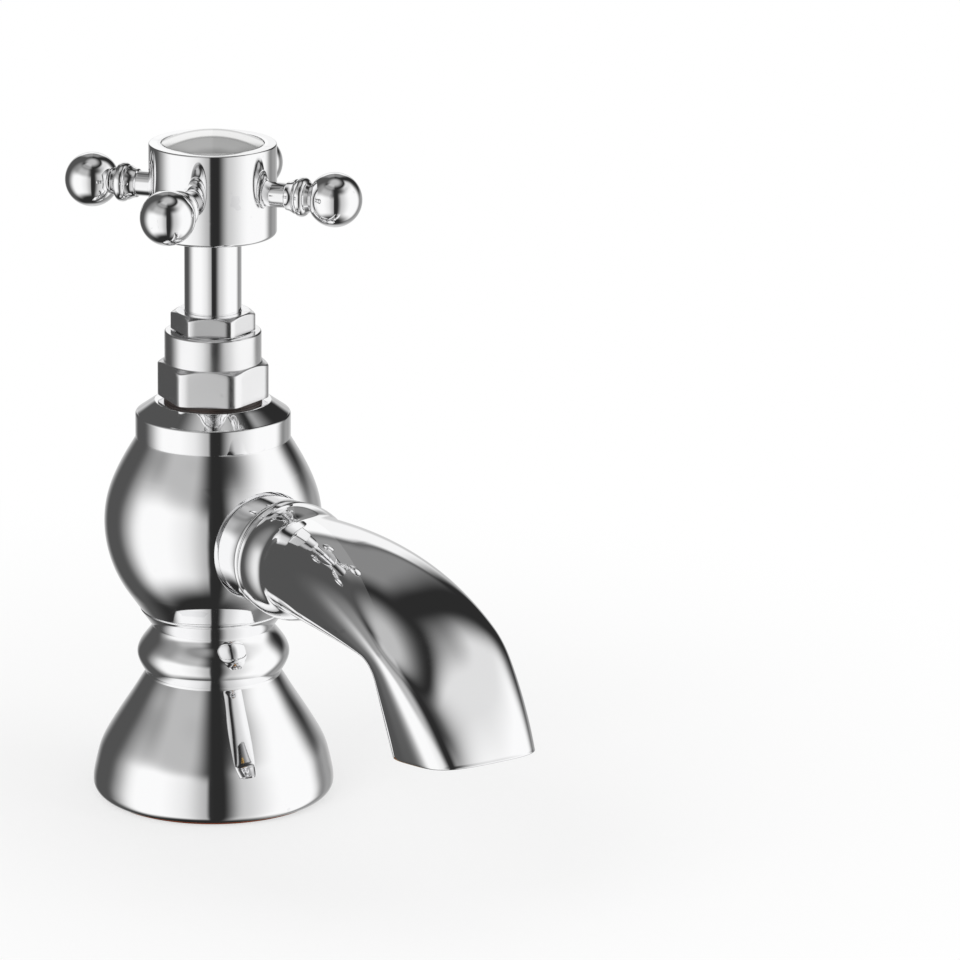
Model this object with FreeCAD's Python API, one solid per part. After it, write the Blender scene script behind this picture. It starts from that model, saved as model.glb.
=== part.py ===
import FreeCAD, Part
import math
import os

# Cross-handle bath pillar tap with a rising spindle.  Millimetres, +Z up.
# The origin is the centre of the foot, on the deck plane z = 0.
# The spout points along -Y.  The valve is modelled closed.
# A "rise" is measured up from the level named before it, a "drop" down from it.

os.makedirs("parts", exist_ok=True)

# ---------------------------------------------------------------- fits
thread_gap = 0.05
running_gap = 0.05
seat_gap = 0.10

# ---------------------------------------------------------------- pedestal (flared foot)
foot_radius = 27.0
foot_edge_height = 2.7
foot_edge_undercut = 2.3
waist_radius = 15.1
waist_height = 27.8
bulge_radius = 17.0
bulge_rise = 4.9
neck_radius = 13.6
neck_rise = 6.3
seam_radius = 16.3
seam_rise = 4.0
seam_chamfer = 0.25
pedestal_wall = 4.0
pedestal_ledge_drop = 4.8
seal_recess_radius = 22.4
seal_recess_depth = 2.0
seal_hole_radius = 15.5
seal_lip_width = 2.8
seal_lip_thickness = 1.6

# ---------------------------------------------------------------- ball body
cone_radius = 19.1
cone_rise = 4.1
ball_radius = 24.2
ball_rise = 15.9
ball_wall = 3.2
band_radius = 17.2
band_rise = 19.6
band_height = 5.3
crown_radius = 12.9
crown_rise = 3.0
chamber_floor_drop = 10.5
chamber_ceiling_rise = 15.5
tower_radius = 9.2
valve_seat_drop = 2.0
valve_seat_bore = 6.0
valve_seat_lip = 7.3

# ---------------------------------------------------------------- supply tail and deck fixings
tail_thread_radius = 13.22
tail_shank_radius = 10.4
tail_shank_length = 27.4
tail_bore_radius = 10.0
tail_upper_bore_radius = 8.0
tail_length = 58.0
relief_groove_depth = 1.0
relief_groove_width = 1.2
deck_thickness = 12.0
clamp_washer_width = 7.7
clamp_washer_thickness = 2.0
backnut_flats = 38.0
backnut_height = 8.5
backnut_flange_radius = 22.5
backnut_flange_thickness = 2.5

# ---------------------------------------------------------------- spout
spout_axis_drop = 0.7
port_radius = 9.55
spot_face_depth = 3.6
collar_length = 9.5
collar_root_radius = 11.8
collar_tip_radius = 12.4
joint_groove = 0.2
spigot_reach = 3.6
spigot_wall = 1.9
seal_groove_inset = 1.2
seal_groove_width = 1.6
seal_section_radius = 0.62
spout_wall = 2.2
spout_root_half_height = 10.3
spout_top_corner = (58.2, 19.3)
spout_top_end = (83.2, -23.0)
spout_top_weight = 1.2
spout_under_corner = (54.6, -6.1)
spout_under_end = (58.9, -26.3)
spout_bend_radius = 5.0
spout_section_count = 25
spout_half_width_middle = 15.5
spout_half_width_end = 13.4
spout_end_squareness = 1.6
shoulder_radius = 12.95
shoulder_peak_reach = 3.7
shoulder_length = 14.2
shoulder_tail_radius = 9.2

# ---------------------------------------------------------------- headwork
washer_thickness = 0.8
washer_margin = 0.6
headwork_thread_radius = 10.48
headwork_thread_length = 16.9
headwork_flats = 22.0
headwork_hex_height = 8.2
headwork_barrel_radius = 10.7
headwork_barrel_height = 6.8
hex_vertex_angle = 22.4
gland_flats = 16.5
gland_height = 4.3
gland_lift = 0.2
gland_vertex_angle = 24.3
gland_spigot_length = 2.4
stuffing_radius = 8.2
stuffing_depth = 6.2

# ---------------------------------------------------------------- spindle and valve
valve_lift = 6.35
spindle_radius = 6.3
spindle_thread_radius = 7.95
spindle_thread_rise = 6.0
spindle_thread_length = 12.6
spindle_showing = 17.3
tang_flats = 8.0
tang_length = 9.1
socket_depth = 3.0
jumper_stem_radius = 3.0
jumper_stem_length = 9.0
jumper_gap = 3.4
jumper_plate_radius = 7.4
jumper_plate_thickness = 2.2
jumper_washer_thickness = 3.4
jumper_stud_radius = 1.5
jumper_nut_flats = 5.2
jumper_nut_height = 2.0

# ---------------------------------------------------------------- handle
handle_angle = -51.1
arm_count = 4
hub_radius = 14.05
hub_edge_rounding = 0.9
cap_recess_depth = 3.7
cap_radius = 11.3
cap_dome = 2.4
cap_gasket_thickness = 0.8
screw_web_thickness = 1.9
screw_shank_radius = 2.0
screw_shank_length = 15.8
screw_head_radius = 4.0
screw_head_height = 2.2
arm_rise = 9.9
arm_length = 14.15
knob_radius = 6.0
cove_reach = 5.2
bead_reach = 7.3
bead_half_length = 1.3
bead_radius = 4.35
bell_radius = 3.85
bell_length = 1.9
arm_neck_radius = 2.75
arm_spigot_radius = 2.2
arm_spigot_depth = 4.45
arm_counterbore_depth = 0.6

# ---------------------------------------------------------------- levels that follow
bulge_height = waist_height + bulge_rise
neck_height = bulge_height + neck_rise
seam_height = neck_height + seam_rise
cone_height = seam_height + cone_rise
ball_height = cone_height + ball_rise
band_bottom = ball_height + band_rise
band_top = band_bottom + band_height
crown_height = band_top + crown_rise
ledge_height = waist_height - pedestal_ledge_drop
tail_top = ledge_height + tail_shank_length
valve_seat_height = ball_height - valve_seat_drop

clamp_washer_top = -deck_thickness
backnut_top = clamp_washer_top - clamp_washer_thickness
backnut_bottom = backnut_top - backnut_height

spout_axis_height = ball_height - spout_axis_drop
spot_face = ball_radius - spot_face_depth
collar_end = spot_face + collar_length
spout_root = collar_end + joint_groove
spigot_start = spot_face - spigot_reach

headwork_bottom = crown_height - headwork_thread_length
headwork_hex_bottom = crown_height + washer_thickness
headwork_hex_top = headwork_hex_bottom + headwork_hex_height
headwork_top = headwork_hex_top + headwork_barrel_height
stuffing_bottom = headwork_top - stuffing_depth
gland_bottom = headwork_top + gland_lift
gland_top = gland_bottom + gland_height
gland_spigot_bottom = gland_bottom - gland_spigot_length

jumper_plate_bottom = valve_seat_height + jumper_washer_thickness
jumper_plate_top = jumper_plate_bottom + jumper_plate_thickness
spindle_bottom = jumper_plate_top + jumper_gap
jumper_stem_top = spindle_bottom + jumper_stem_length
spindle_thread_bottom = spindle_bottom + spindle_thread_rise
spindle_thread_top = spindle_thread_bottom + spindle_thread_length
thread_chamber_top = spindle_thread_top + valve_lift + 3.5 * seat_gap

hub_bottom = gland_top + spindle_showing
spindle_stem_top = hub_bottom + socket_depth
tang_top = spindle_stem_top + tang_length
screw_web_bottom = tang_top + 3 * seat_gap
screw_web_top = screw_web_bottom + screw_web_thickness
cap_recess_bottom = screw_web_top + screw_head_height + 2 * seat_gap
hub_top = cap_recess_bottom + cap_recess_depth
arm_height = hub_bottom + arm_rise
knob_centre = hub_radius + arm_length
arm_counterbore = hub_radius - arm_counterbore_depth


def vec(x, y, z):
    """A point or direction."""
    return FreeCAD.Vector(x, y, z)


def between(a, b, share_out, share_up):
    """A point part of the way from one (radius, height) point to another, each way by its own share."""
    return (a[0] + share_out * (b[0] - a[0]), a[1] + share_up * (b[1] - a[1]))


def line(a, b):
    """A straight edge between two (radius, height) points of a half section."""
    return Part.LineSegment(vec(a[0], 0, a[1]), vec(b[0], 0, b[1])).toShape()


def arc(a, middle, b):
    """A circular edge through three (radius, height) points."""
    points = [vec(p[0], 0, p[1]) for p in (a, middle, b)]
    return Part.Arc(*points).toShape()


def curve(points, start=None, end=None):
    """A smooth edge through (radius, height) points, with end directions if given."""
    spline = Part.BSplineCurve()
    nodes = [vec(p[0], 0, p[1]) for p in points]
    if start is None:
        spline.interpolate(Points=nodes)
    else:
        spline.interpolate(
            Points=nodes,
            InitialTangent=vec(start[0], 0, start[1]),
            FinalTangent=vec(end[0], 0, end[1]),
        )
    return spline.toShape()


def chain(points):
    """Straight edges from each (radius, height) point to the next."""
    return [line(a, b) for a, b in zip(points, points[1:])]


def turned(edges):
    """A solid turned about Z from the closed half section that the edges bound."""
    face = Part.Face(Part.Wire(Part.__sortEdges__(edges)))
    return face.revolve(vec(0, 0, 0), vec(0, 0, 1), 360)


def turned_polygon(points):
    """A turned solid whose half section has straight sides."""
    return turned(chain(list(points) + [points[0]]))


def rod(radius, bottom, top):
    """A plain cylinder on Z."""
    return Part.makeCylinder(radius, top - bottom, vec(0, 0, bottom))


def ring(outer, inner, bottom, top):
    """A flat ring on Z."""
    return rod(outer, bottom, top).cut(rod(inner, bottom - 1, top + 1))


def polygon_prism(sides, across_flats, bottom, top, vertex_angle):
    """A prism on Z with one vertex at the given angle in degrees."""
    corner_radius = across_flats / 2 / math.cos(math.pi / sides)
    corners = []
    for index in range(sides + 1):
        angle = math.radians(vertex_angle + index * 360 / sides)
        corners.append(vec(corner_radius * math.cos(angle), corner_radius * math.sin(angle), bottom))
    face = Part.Face(Part.makePolygon(corners))
    return face.extrude(vec(0, 0, top - bottom))


def chamfered_hexagon(across_flats, bottom, top, vertex_angle, chamfer_bottom=True):
    """A hexagon whose corners are turned off at 30 degrees, as nuts are."""
    corner_radius = across_flats / math.sqrt(3)
    flat_radius = across_flats / 2 * 0.97
    drop = (corner_radius - flat_radius) * math.tan(math.radians(30))
    foot = [(flat_radius, bottom), (corner_radius, bottom + drop)] if chamfer_bottom else [(corner_radius, bottom)]
    head = [(corner_radius, top - drop), (flat_radius, top)]
    blank = turned_polygon([(0, bottom)] + foot + head + [(0, top)])
    return polygon_prism(6, across_flats, bottom, top, vertex_angle).common(blank)


def on_spout_axis(shape):
    """Turn a shape built on Z so that it lies on the spout's axis, +Z becoming -Y."""
    placed = shape.copy()
    placed.rotate(vec(0, 0, 0), vec(1, 0, 0), 90)
    placed.translate(vec(0, 0, spout_axis_height))
    return placed


# ================================================================ foot and body


def pedestal():
    """Flared foot, waist, rolled bulge and neck, hollow over the deck."""
    edge = (foot_radius, foot_edge_height)
    under = (foot_radius - foot_edge_undercut, 0)
    waist = (waist_radius, waist_height)
    waist_end = (waist_radius, waist_height + 0.5)
    bulge = (bulge_radius, bulge_height)
    neck_start = (neck_radius, neck_height - 0.3)
    neck = (neck_radius, neck_height)
    flare = [between(edge, waist, *shares) for shares in
             ((0.05, 0.155), (0.143, 0.319), (0.294, 0.462), (0.513, 0.633), (0.756, 0.813))]
    roll_up = between(waist_end, bulge, 0.684, 0.477)
    roll_down = [between(bulge, neck_start, *shares) for shares in ((0.235, 0.367), (0.647, 0.683))]
    seam_edge = (seam_radius - seam_chamfer, seam_height)
    outside = [
        line(under, (seal_recess_radius, 0)),
        arc(under, between(under, edge, 0.74, 0.33), edge),
        curve([edge] + flare + [waist], start=(0, 1), end=(-0.55, 0.83)),
        line(waist, waist_end),
        curve([waist_end, roll_up, bulge] + roll_down + [neck_start], start=(0.6, 0.8), end=(-0.3, 0.95)),
        line(neck_start, neck),
        line(neck, (seam_radius, seam_height - 0.15)),
        line((seam_radius, seam_height - 0.15), seam_edge),
    ]
    bore = tail_shank_radius + seat_gap
    ledge_edge = (tail_thread_radius + 6 * seat_gap, ledge_height)
    lip_top = seal_recess_depth + seal_lip_thickness
    lip_radius = seal_recess_radius - seal_lip_width
    hollow_edge = (foot_radius - pedestal_wall, between(edge, waist, 0, 0.155)[1])
    inside = chain(
        [
            seam_edge,
            (bore, seam_height),
            (bore, ledge_height),
            ledge_edge,
            between(ledge_edge, hollow_edge, 0.477, 0.305),
            between(ledge_edge, hollow_edge, 0.826, 0.671),
            hollow_edge,
            (hollow_edge[0], lip_top),
            (lip_radius, lip_top),
            (lip_radius, seal_recess_depth),
            (seal_recess_radius, seal_recess_depth),
            (seal_recess_radius, 0),
        ]
    )
    return turned(outside + inside)


def base_seal():
    """Soft ring that sits in the foot's recess and bears on the deck."""
    return ring(seal_recess_radius - seat_gap, seal_hole_radius, 0, seal_recess_depth)


def ball_outside():
    """The ball, its cone below and its band and crown above, as a half section outline."""
    seam_edge = (seam_radius - seam_chamfer, seam_height)
    cone = (cone_radius, cone_height)
    ball = (ball_radius, ball_height)
    band_foot = (band_radius - 0.25, band_bottom - 0.1)
    swell = [between(cone, ball, *shares) for shares in ((0.5, 0.277), (0.843, 0.591))]
    close = [between(ball, band_foot, *shares) for shares in ((0.103, 0.308), (0.359, 0.569), (0.738, 0.836))]
    band_edge = (band_radius, band_top - 0.3)
    band_shoulder = (band_radius - 0.4, band_top + 0.25)
    return [
        line(seam_edge, (seam_radius, seam_height + 0.15)),
        line((seam_radius, seam_height + 0.15), cone),
        curve([cone] + swell + [ball] + close + [band_foot], start=(0.58, 0.82), end=(-0.5, 0.87)),
        line(band_foot, (band_radius, band_bottom)),
        line((band_radius, band_bottom), band_edge),
        arc(band_edge, (band_radius - 0.1, band_top), band_shoulder),
        line(band_shoulder, (crown_radius, crown_height)),
    ]


def ball_inside():
    """The water chamber, the valve-seat tower in it and the threaded bores."""
    neck_bore = headwork_thread_radius + thread_gap
    socket = tail_shank_radius + thread_gap
    socket_top = tail_top + seat_gap
    chamber_radius = ball_radius - ball_wall
    floor = (chamber_radius - 3.4, ball_height - chamber_floor_drop)
    middle = (chamber_radius, ball_height)
    ceiling = (chamber_radius - 7.4, ball_height + chamber_ceiling_rise)
    lower = chain(
        [
            (seam_radius - seam_chamfer, seam_height),
            (socket, seam_height),
            (socket, socket_top),
            (tail_upper_bore_radius, socket_top),
            (tail_upper_bore_radius, valve_seat_height - 5),
            (valve_seat_bore, valve_seat_height - 3),
            (valve_seat_bore, valve_seat_height),
            (valve_seat_lip, valve_seat_height),
            (tower_radius, valve_seat_height - 1.5),
            (tower_radius, floor[1]),
            floor,
        ]
    )
    wall = curve(
        [
            floor,
            between(floor, middle, 0.765, 0.476),
            middle,
            between(middle, ceiling, 0.122, 0.387),
            between(middle, ceiling, 0.459, 0.742),
            ceiling,
        ]
    )
    upper = chain(
        [
            ceiling,
            (neck_bore, ceiling[1]),
            (neck_bore, crown_height),
            (crown_radius, crown_height),
        ]
    )
    return lower + [wall] + upper


def ball_body():
    """Hollow ball with the valve seat, the headwork thread and the spout's port."""
    ball = turned(ball_outside() + ball_inside())
    port = on_spout_axis(rod(port_radius, spigot_start - 4, ball_radius + 4))
    spot = on_spout_axis(rod(collar_root_radius + 5 * seat_gap, spot_face, ball_radius + 4))
    return ball.cut(port).cut(spot)


def inlet_tail():
    """Threaded supply tail: shoulder under the foot, bore right through."""
    groove_top = backnut_bottom - 6 * seat_gap
    groove_bottom = groove_top - relief_groove_width
    groove_radius = tail_thread_radius - relief_groove_depth
    return turned_polygon(
        [
            (tail_upper_bore_radius, tail_top),
            (tail_shank_radius, tail_top),
            (tail_shank_radius, ledge_height),
            (tail_thread_radius, ledge_height),
            (tail_thread_radius, groove_top),
            (groove_radius, groove_top),
            (groove_radius, groove_bottom),
            (tail_thread_radius, groove_bottom),
            (tail_thread_radius, 1 - tail_length),
            (tail_thread_radius - 1, -tail_length),
            (tail_bore_radius, -tail_length),
            (tail_bore_radius, ledge_height - 5),
            (tail_upper_bore_radius, ledge_height - 3),
        ]
    )


def clamp_washer():
    """Fibre washer under the deck."""
    hole = tail_thread_radius + seat_gap
    return ring(hole + clamp_washer_width, hole, backnut_top, clamp_washer_top)


def backnut():
    """Flanged hexagon nut that clamps the tap to the deck."""
    flange = rod(backnut_flange_radius, backnut_top - backnut_flange_thickness, backnut_top)
    hexagon = chamfered_hexagon(backnut_flats, backnut_bottom, backnut_top, 0)
    bore = rod(tail_thread_radius + thread_gap, backnut_bottom - 1, backnut_top + 1)
    return flange.fuse(hexagon).cut(bore).removeSplitter()


# ================================================================ spout


def spout_collar():
    """Turned ring between the ball and the spout, grooved at both ends."""
    undercut = collar_root_radius - 0.8
    body_start = (collar_root_radius + 0.05, spot_face + 1.5)
    body_end = (collar_tip_radius, collar_end - 0.9)
    lip = (collar_tip_radius - 0.7, collar_end)
    groove_end = (undercut, spot_face + 0.5)
    edges = chain([(port_radius, spot_face), (undercut, spot_face), groove_end])
    edges.append(arc(groove_end, (collar_root_radius - 0.15, spot_face + 0.8), body_start))
    edges.append(line(body_start, body_end))
    edges.append(arc(body_end, (collar_tip_radius - 0.2, collar_end - 0.25), lip))
    edges += chain([lip, (port_radius, collar_end), (port_radius, spot_face)])
    return on_spout_axis(turned(edges))


def spout_point(place):
    """A point in the plane x = 0, given as reach beyond the spout's root and rise over its axis."""
    return vec(0, -(spout_root + place[0]), spout_axis_height + place[1])


def spout_top_line():
    """The top of the spout in the plane x = 0, one conic from root to outlet."""
    bezier = Part.BezierCurve()
    poles = ((0, spout_root_half_height), spout_top_corner, spout_top_end)
    bezier.setPoles([spout_point(pole) for pole in poles])
    bezier.setWeight(2, spout_top_weight)
    return bezier.toShape()


def spout_underside_line():
    """The underside in the plane x = 0: two straight runs joined by the rounded bend."""
    places = ((0, -spout_root_half_height), spout_under_corner, spout_under_end)
    start, corner, end = [spout_point(place) for place in places]
    back = (start - corner).normalize()
    down = (end - corner).normalize()
    half_angle = back.getAngle(down) / 2
    first = corner + back * (spout_bend_radius / math.tan(half_angle))
    last = corner + down * (spout_bend_radius / math.tan(half_angle))
    inner = corner + (back + down).normalize() * (spout_bend_radius / math.sin(half_angle) - spout_bend_radius)
    runs = [Part.LineSegment(start, first), Part.Arc(first, inner, last), Part.LineSegment(last, end)]
    return Part.Wire([run.toShape() for run in runs])


def half_outline(centre, half_height, half_width, squareness, side):
    """One side of a spout section, a superellipse; the two sides run on round the section."""
    power = 2 / (2 + squareness)
    steps = 12
    points = []
    for index in range(steps + 1):
        angle = math.pi * index / steps
        across = side * half_width * abs(math.sin(angle)) ** power if 0 < index < steps else 0
        up = math.copysign(abs(math.cos(angle)) ** power, math.cos(angle))
        points.append(centre + vec(across, 0, 0) + half_height * up)
    if side < 0:
        points.reverse()
    outline = Part.BSplineCurve()
    outline.interpolate(Points=points, InitialTangent=vec(side, 0, 0), FinalTangent=vec(-side, 0, 0))
    return outline.toShape()


def spout_sections(inset):
    """Closed sections along the spout, drawn in by inset from the outside."""
    tops = spout_top_line().discretize(Number=spout_section_count)
    undersides = spout_underside_line().discretize(Number=spout_section_count)
    wires = []
    for index, (top, under) in enumerate(zip(tops, undersides)):
        share = index / (spout_section_count - 1)
        half_width = (
            spout_root_half_height * (1 - share) * (1 - 2 * share)
            + 4 * spout_half_width_middle * share * (1 - share)
            + spout_half_width_end * share * (2 * share - 1)
        )
        centre = (top + under) * 0.5
        full = (top - under) * 0.5
        half_height = full * (1 - inset / full.Length)
        section = (centre, half_height, half_width - inset, spout_end_squareness * share)
        wires.append(Part.Wire([half_outline(*section, 1), half_outline(*section, -1)]))
    return wires


def spout_waterway():
    """The inside of the spout, run out past the outlet so that it opens the end."""
    wires = spout_sections(spout_wall)
    channel = Part.makeLoft(wires, True, False)
    outlet = Part.Face(wires[-1])
    across = spout_point(spout_top_end) - spout_point(spout_under_end)
    outward = vec(0, -abs(across.z), across.y).normalize()
    if outward.z > 0:
        outward = outward * -1
    return channel.fuse(outlet.extrude(outward * 3))


def spout():
    """Cast spout: spigot, rolled shoulder and a tube that widens to a rounded outlet."""
    shoulder_end = spout_root + shoulder_length
    lip_start = (shoulder_radius - 1.2, spout_root)
    lip_end = (shoulder_radius - 0.3, spout_root + 1.0)
    peak = (shoulder_radius, spout_root + shoulder_peak_reach)
    tail = (shoulder_tail_radius, shoulder_end)
    shoulder_edges = [
        line((0, spout_root), lip_start),
        arc(lip_start, (shoulder_radius - 0.55, spout_root + 0.3), lip_end),
        curve([lip_end, peak, between(peak, tail, 0.24, 0.495), tail]),
        line(tail, (0, shoulder_end)),
        line((0, shoulder_end), (0, spout_root)),
    ]
    shoulder = on_spout_axis(turned(shoulder_edges))
    spigot_radius = port_radius - thread_gap
    groove_start = spigot_start + seal_groove_inset
    groove_radius = port_radius - 2 * seal_section_radius
    groove = ring(spigot_radius + 1, groove_radius, groove_start, groove_start + seal_groove_width)
    spigot = rod(spigot_radius, spigot_start, spout_root + 1).cut(groove)
    skin = Part.makeLoft(spout_sections(0), True, False)
    outside = skin.fuse([shoulder, on_spout_axis(spigot)])
    bore = on_spout_axis(rod(spigot_radius - spigot_wall, spigot_start - 1, spout_root + 6))
    return outside.cut([spout_waterway(), bore])


def spout_seal():
    """Rubber ring in the spigot's groove."""
    middle = spigot_start + seal_groove_inset + seal_groove_width / 2
    torus = Part.makeTorus(port_radius - seal_section_radius, seal_section_radius, vec(0, 0, middle))
    return on_spout_axis(torus)


# ================================================================ headwork


def headwork_washer():
    """Fibre washer between the crown and the headwork."""
    hole = headwork_thread_radius + thread_gap
    return ring(headwork_flats / 2 + washer_margin, hole, crown_height, headwork_hex_bottom)


def headwork_body():
    """Headwork: threaded barrel below, hexagon, and plain barrel with the stuffing box."""
    barrel = rod(headwork_thread_radius, headwork_bottom, headwork_hex_bottom + 1)
    hexagon = chamfered_hexagon(
        headwork_flats, headwork_hex_bottom, headwork_hex_top, hex_vertex_angle, chamfer_bottom=False
    )
    upper = turned_polygon(
        [
            (0, headwork_hex_top - 1),
            (headwork_barrel_radius, headwork_hex_top - 1),
            (headwork_barrel_radius, headwork_top - 0.3),
            (headwork_barrel_radius - 0.3, headwork_top),
            (0, headwork_top),
        ]
    )
    outside = barrel.fuse([hexagon, upper]).removeSplitter()
    thread_bore = rod(spindle_thread_radius + running_gap, headwork_bottom - 1, thread_chamber_top)
    stem_bore = rod(spindle_radius + running_gap, thread_chamber_top - 1, headwork_top + 1)
    stuffing_box = rod(stuffing_radius, stuffing_bottom, headwork_top + 1)
    return outside.cut([thread_bore, stem_bore, stuffing_box])


def gland_packing():
    """Packing ring that seals the spindle inside the stuffing box."""
    return ring(stuffing_radius - thread_gap, spindle_radius + running_gap, stuffing_bottom, gland_spigot_bottom)


def gland_nut():
    """Small hexagon nut that presses the packing down."""
    hexagon = chamfered_hexagon(gland_flats, gland_bottom, gland_top, gland_vertex_angle, chamfer_bottom=False)
    spigot = rod(stuffing_radius - thread_gap, gland_spigot_bottom, gland_bottom + 1)
    bore = rod(spindle_radius + running_gap, gland_spigot_bottom - 1, gland_top + 1)
    return hexagon.fuse(spigot).cut(bore).removeSplitter()


# ================================================================ spindle and valve


def spindle():
    """Rising spindle: thread below, smooth stem, square tang and a tapped hole on top."""
    turned_blank = turned_polygon(
        [
            (0, spindle_bottom),
            (spindle_radius - 0.4, spindle_bottom),
            (spindle_radius, spindle_bottom + 0.4),
            (spindle_radius, spindle_thread_bottom),
            (spindle_thread_radius, spindle_thread_bottom),
            (spindle_thread_radius, spindle_thread_top),
            (spindle_radius, spindle_thread_top),
            (spindle_radius, spindle_stem_top),
            (0, spindle_stem_top),
        ]
    )
    tang = polygon_prism(4, tang_flats, spindle_stem_top - 1, tang_top, handle_angle)
    jumper_hole = rod(jumper_stem_radius + running_gap, spindle_bottom - 1, jumper_stem_top + 0.5)
    screw_hole_bottom = screw_web_top - screw_shank_length - 0.5
    screw_hole = rod(screw_shank_radius + thread_gap, screw_hole_bottom, tang_top + 1)
    return turned_blank.fuse(tang).removeSplitter().cut([jumper_hole, screw_hole])


def jumper():
    """Valve jumper: stem in the spindle, plate over the washer and a threaded stud."""
    stud_bottom = valve_seat_height - jumper_nut_height - 0.6
    return turned_polygon(
        [
            (0, jumper_stem_top),
            (jumper_stem_radius, jumper_stem_top),
            (jumper_stem_radius, jumper_plate_top),
            (jumper_plate_radius, jumper_plate_top),
            (jumper_plate_radius, jumper_plate_bottom),
            (jumper_stud_radius, jumper_plate_bottom),
            (jumper_stud_radius, stud_bottom),
            (0, stud_bottom),
        ]
    )


def jumper_washer():
    """Rubber washer that closes on the valve seat."""
    return ring(jumper_plate_radius, jumper_stud_radius + thread_gap, valve_seat_height, jumper_plate_bottom)


def jumper_nut():
    """Small nut that holds the washer on the jumper."""
    bottom = valve_seat_height - jumper_nut_height
    nut = polygon_prism(6, jumper_nut_flats, bottom, valve_seat_height, 0)
    return nut.cut(rod(jumper_stud_radius + thread_gap, bottom - 1, valve_seat_height + 1))


# ================================================================ handle


def arm_outline():
    """Half section of an arm: spigot, neck, bell, bead, cove and knob, with Z outwards."""
    spigot_start_at = hub_radius - arm_spigot_depth
    cove = knob_centre - cove_reach
    cove_radius = math.sqrt(knob_radius**2 - cove_reach**2)
    bead = knob_centre - bead_reach
    bead_side = bead_radius - 0.7
    bell = bead - bead_half_length - 0.3
    bell_start = bell - bell_length
    rise = bell_radius - arm_neck_radius
    edges = chain(
        [
            (0, spigot_start_at),
            (arm_spigot_radius, spigot_start_at),
            (arm_spigot_radius, arm_counterbore),
            (arm_neck_radius, arm_counterbore),
            (arm_neck_radius, bell_start - 0.2),
            (arm_neck_radius + 0.36 * rise, bell_start),
        ]
    )
    flare = (arm_neck_radius + 0.55 * rise, bell_start + 0.47 * bell_length)
    edges.append(curve([(arm_neck_radius + 0.36 * rise, bell_start), flare, (bell_radius, bell)]))
    edges.append(line((bell_radius, bell), (bead_side, bell + 0.3)))
    edges.append(
        arc((bead_side, bead - bead_half_length), (bead_radius, bead), (bead_side - 0.15, bead + bead_half_length - 0.1))
    )
    edges.append(line((bead_side - 0.15, bead + bead_half_length - 0.1), (cove_radius, cove)))
    edges.append(arc((cove_radius, cove), (knob_radius, knob_centre), (0, knob_centre + knob_radius)))
    edges.append(line((0, knob_centre + knob_radius), (0, spigot_start_at)))
    return edges


def arm(index):
    """One of the four screwed-in arms with its ball knob."""
    shape = turned(arm_outline())
    shape.rotate(vec(0, 0, 0), vec(0, 1, 0), 90)
    shape.translate(vec(0, 0, arm_height))
    shape.rotate(vec(0, 0, 0), vec(0, 0, 1), handle_angle + index * 360 / arm_count)
    return shape


def arm_socket(index):
    """The stepped hole in the hub that an arm screws into."""
    narrow_start = hub_radius - arm_spigot_depth - 4 * seat_gap
    outwards = vec(1, 0, 0)
    narrow_at = vec(narrow_start, 0, arm_height)
    narrow = Part.makeCylinder(arm_spigot_radius + thread_gap, hub_radius, narrow_at, outwards)
    wide_at = vec(arm_counterbore, 0, arm_height)
    counterbore = Part.makeCylinder(arm_neck_radius + thread_gap, hub_radius, wide_at, outwards)
    socket = narrow.fuse(counterbore)
    socket.rotate(vec(0, 0, 0), vec(0, 0, 1), handle_angle + index * 360 / arm_count)
    return socket


def handle_hub():
    """Drum of the cross handle: square socket, screw seat, cap recess, four arm holes."""
    rounding = hub_edge_rounding
    slope = rounding * (1 - math.sqrt(0.5))
    foot = (hub_radius - rounding, hub_bottom)
    wall_start = (hub_radius, hub_bottom + rounding)
    wall_end = (hub_radius, hub_top - 0.4)
    rim = (hub_radius - 0.4, hub_top)
    edges = [
        line((0, hub_bottom), foot),
        arc(foot, (hub_radius - slope, hub_bottom + slope), wall_start),
        line(wall_start, wall_end),
        arc(wall_end, (hub_radius - 0.12, hub_top - 0.12), rim),
        line(rim, (0, hub_top)),
        line((0, hub_top), (0, hub_bottom)),
    ]
    drum = turned(edges)
    cuts = [
        rod(cap_radius + thread_gap, cap_recess_bottom, hub_top + 1),
        rod(screw_head_radius + 5 * seat_gap, screw_web_top, hub_top),
        rod(screw_shank_radius + 1.5 * seat_gap, screw_web_bottom - 1, hub_top),
        rod(spindle_radius + seat_gap, hub_bottom - 1, spindle_stem_top),
        polygon_prism(4, tang_flats + seat_gap, spindle_stem_top - 1, screw_web_bottom, handle_angle),
    ]
    cuts += [arm_socket(index) for index in range(arm_count)]
    return drum.cut(cuts)


def handle_screw():
    """Cheese-head screw that holds the hub on the spindle, slotted on top."""
    head_top = screw_web_top + screw_head_height
    head = rod(screw_head_radius, screw_web_top, head_top)
    shank = rod(screw_shank_radius, screw_web_top - screw_shank_length, screw_web_top + 1)
    slot_length = 2.2 * screw_head_radius
    slot = Part.makeBox(slot_length, 1.0, 1.2, vec(-slot_length / 2, -0.5, head_top - 1.2))
    return head.fuse(shank).removeSplitter().cut(slot)


def cap_gasket():
    """Soft ring under the cap."""
    top = cap_recess_bottom + cap_gasket_thickness
    return ring(cap_radius - 3 * seat_gap, screw_head_radius + 2.5, cap_recess_bottom, top)


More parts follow.
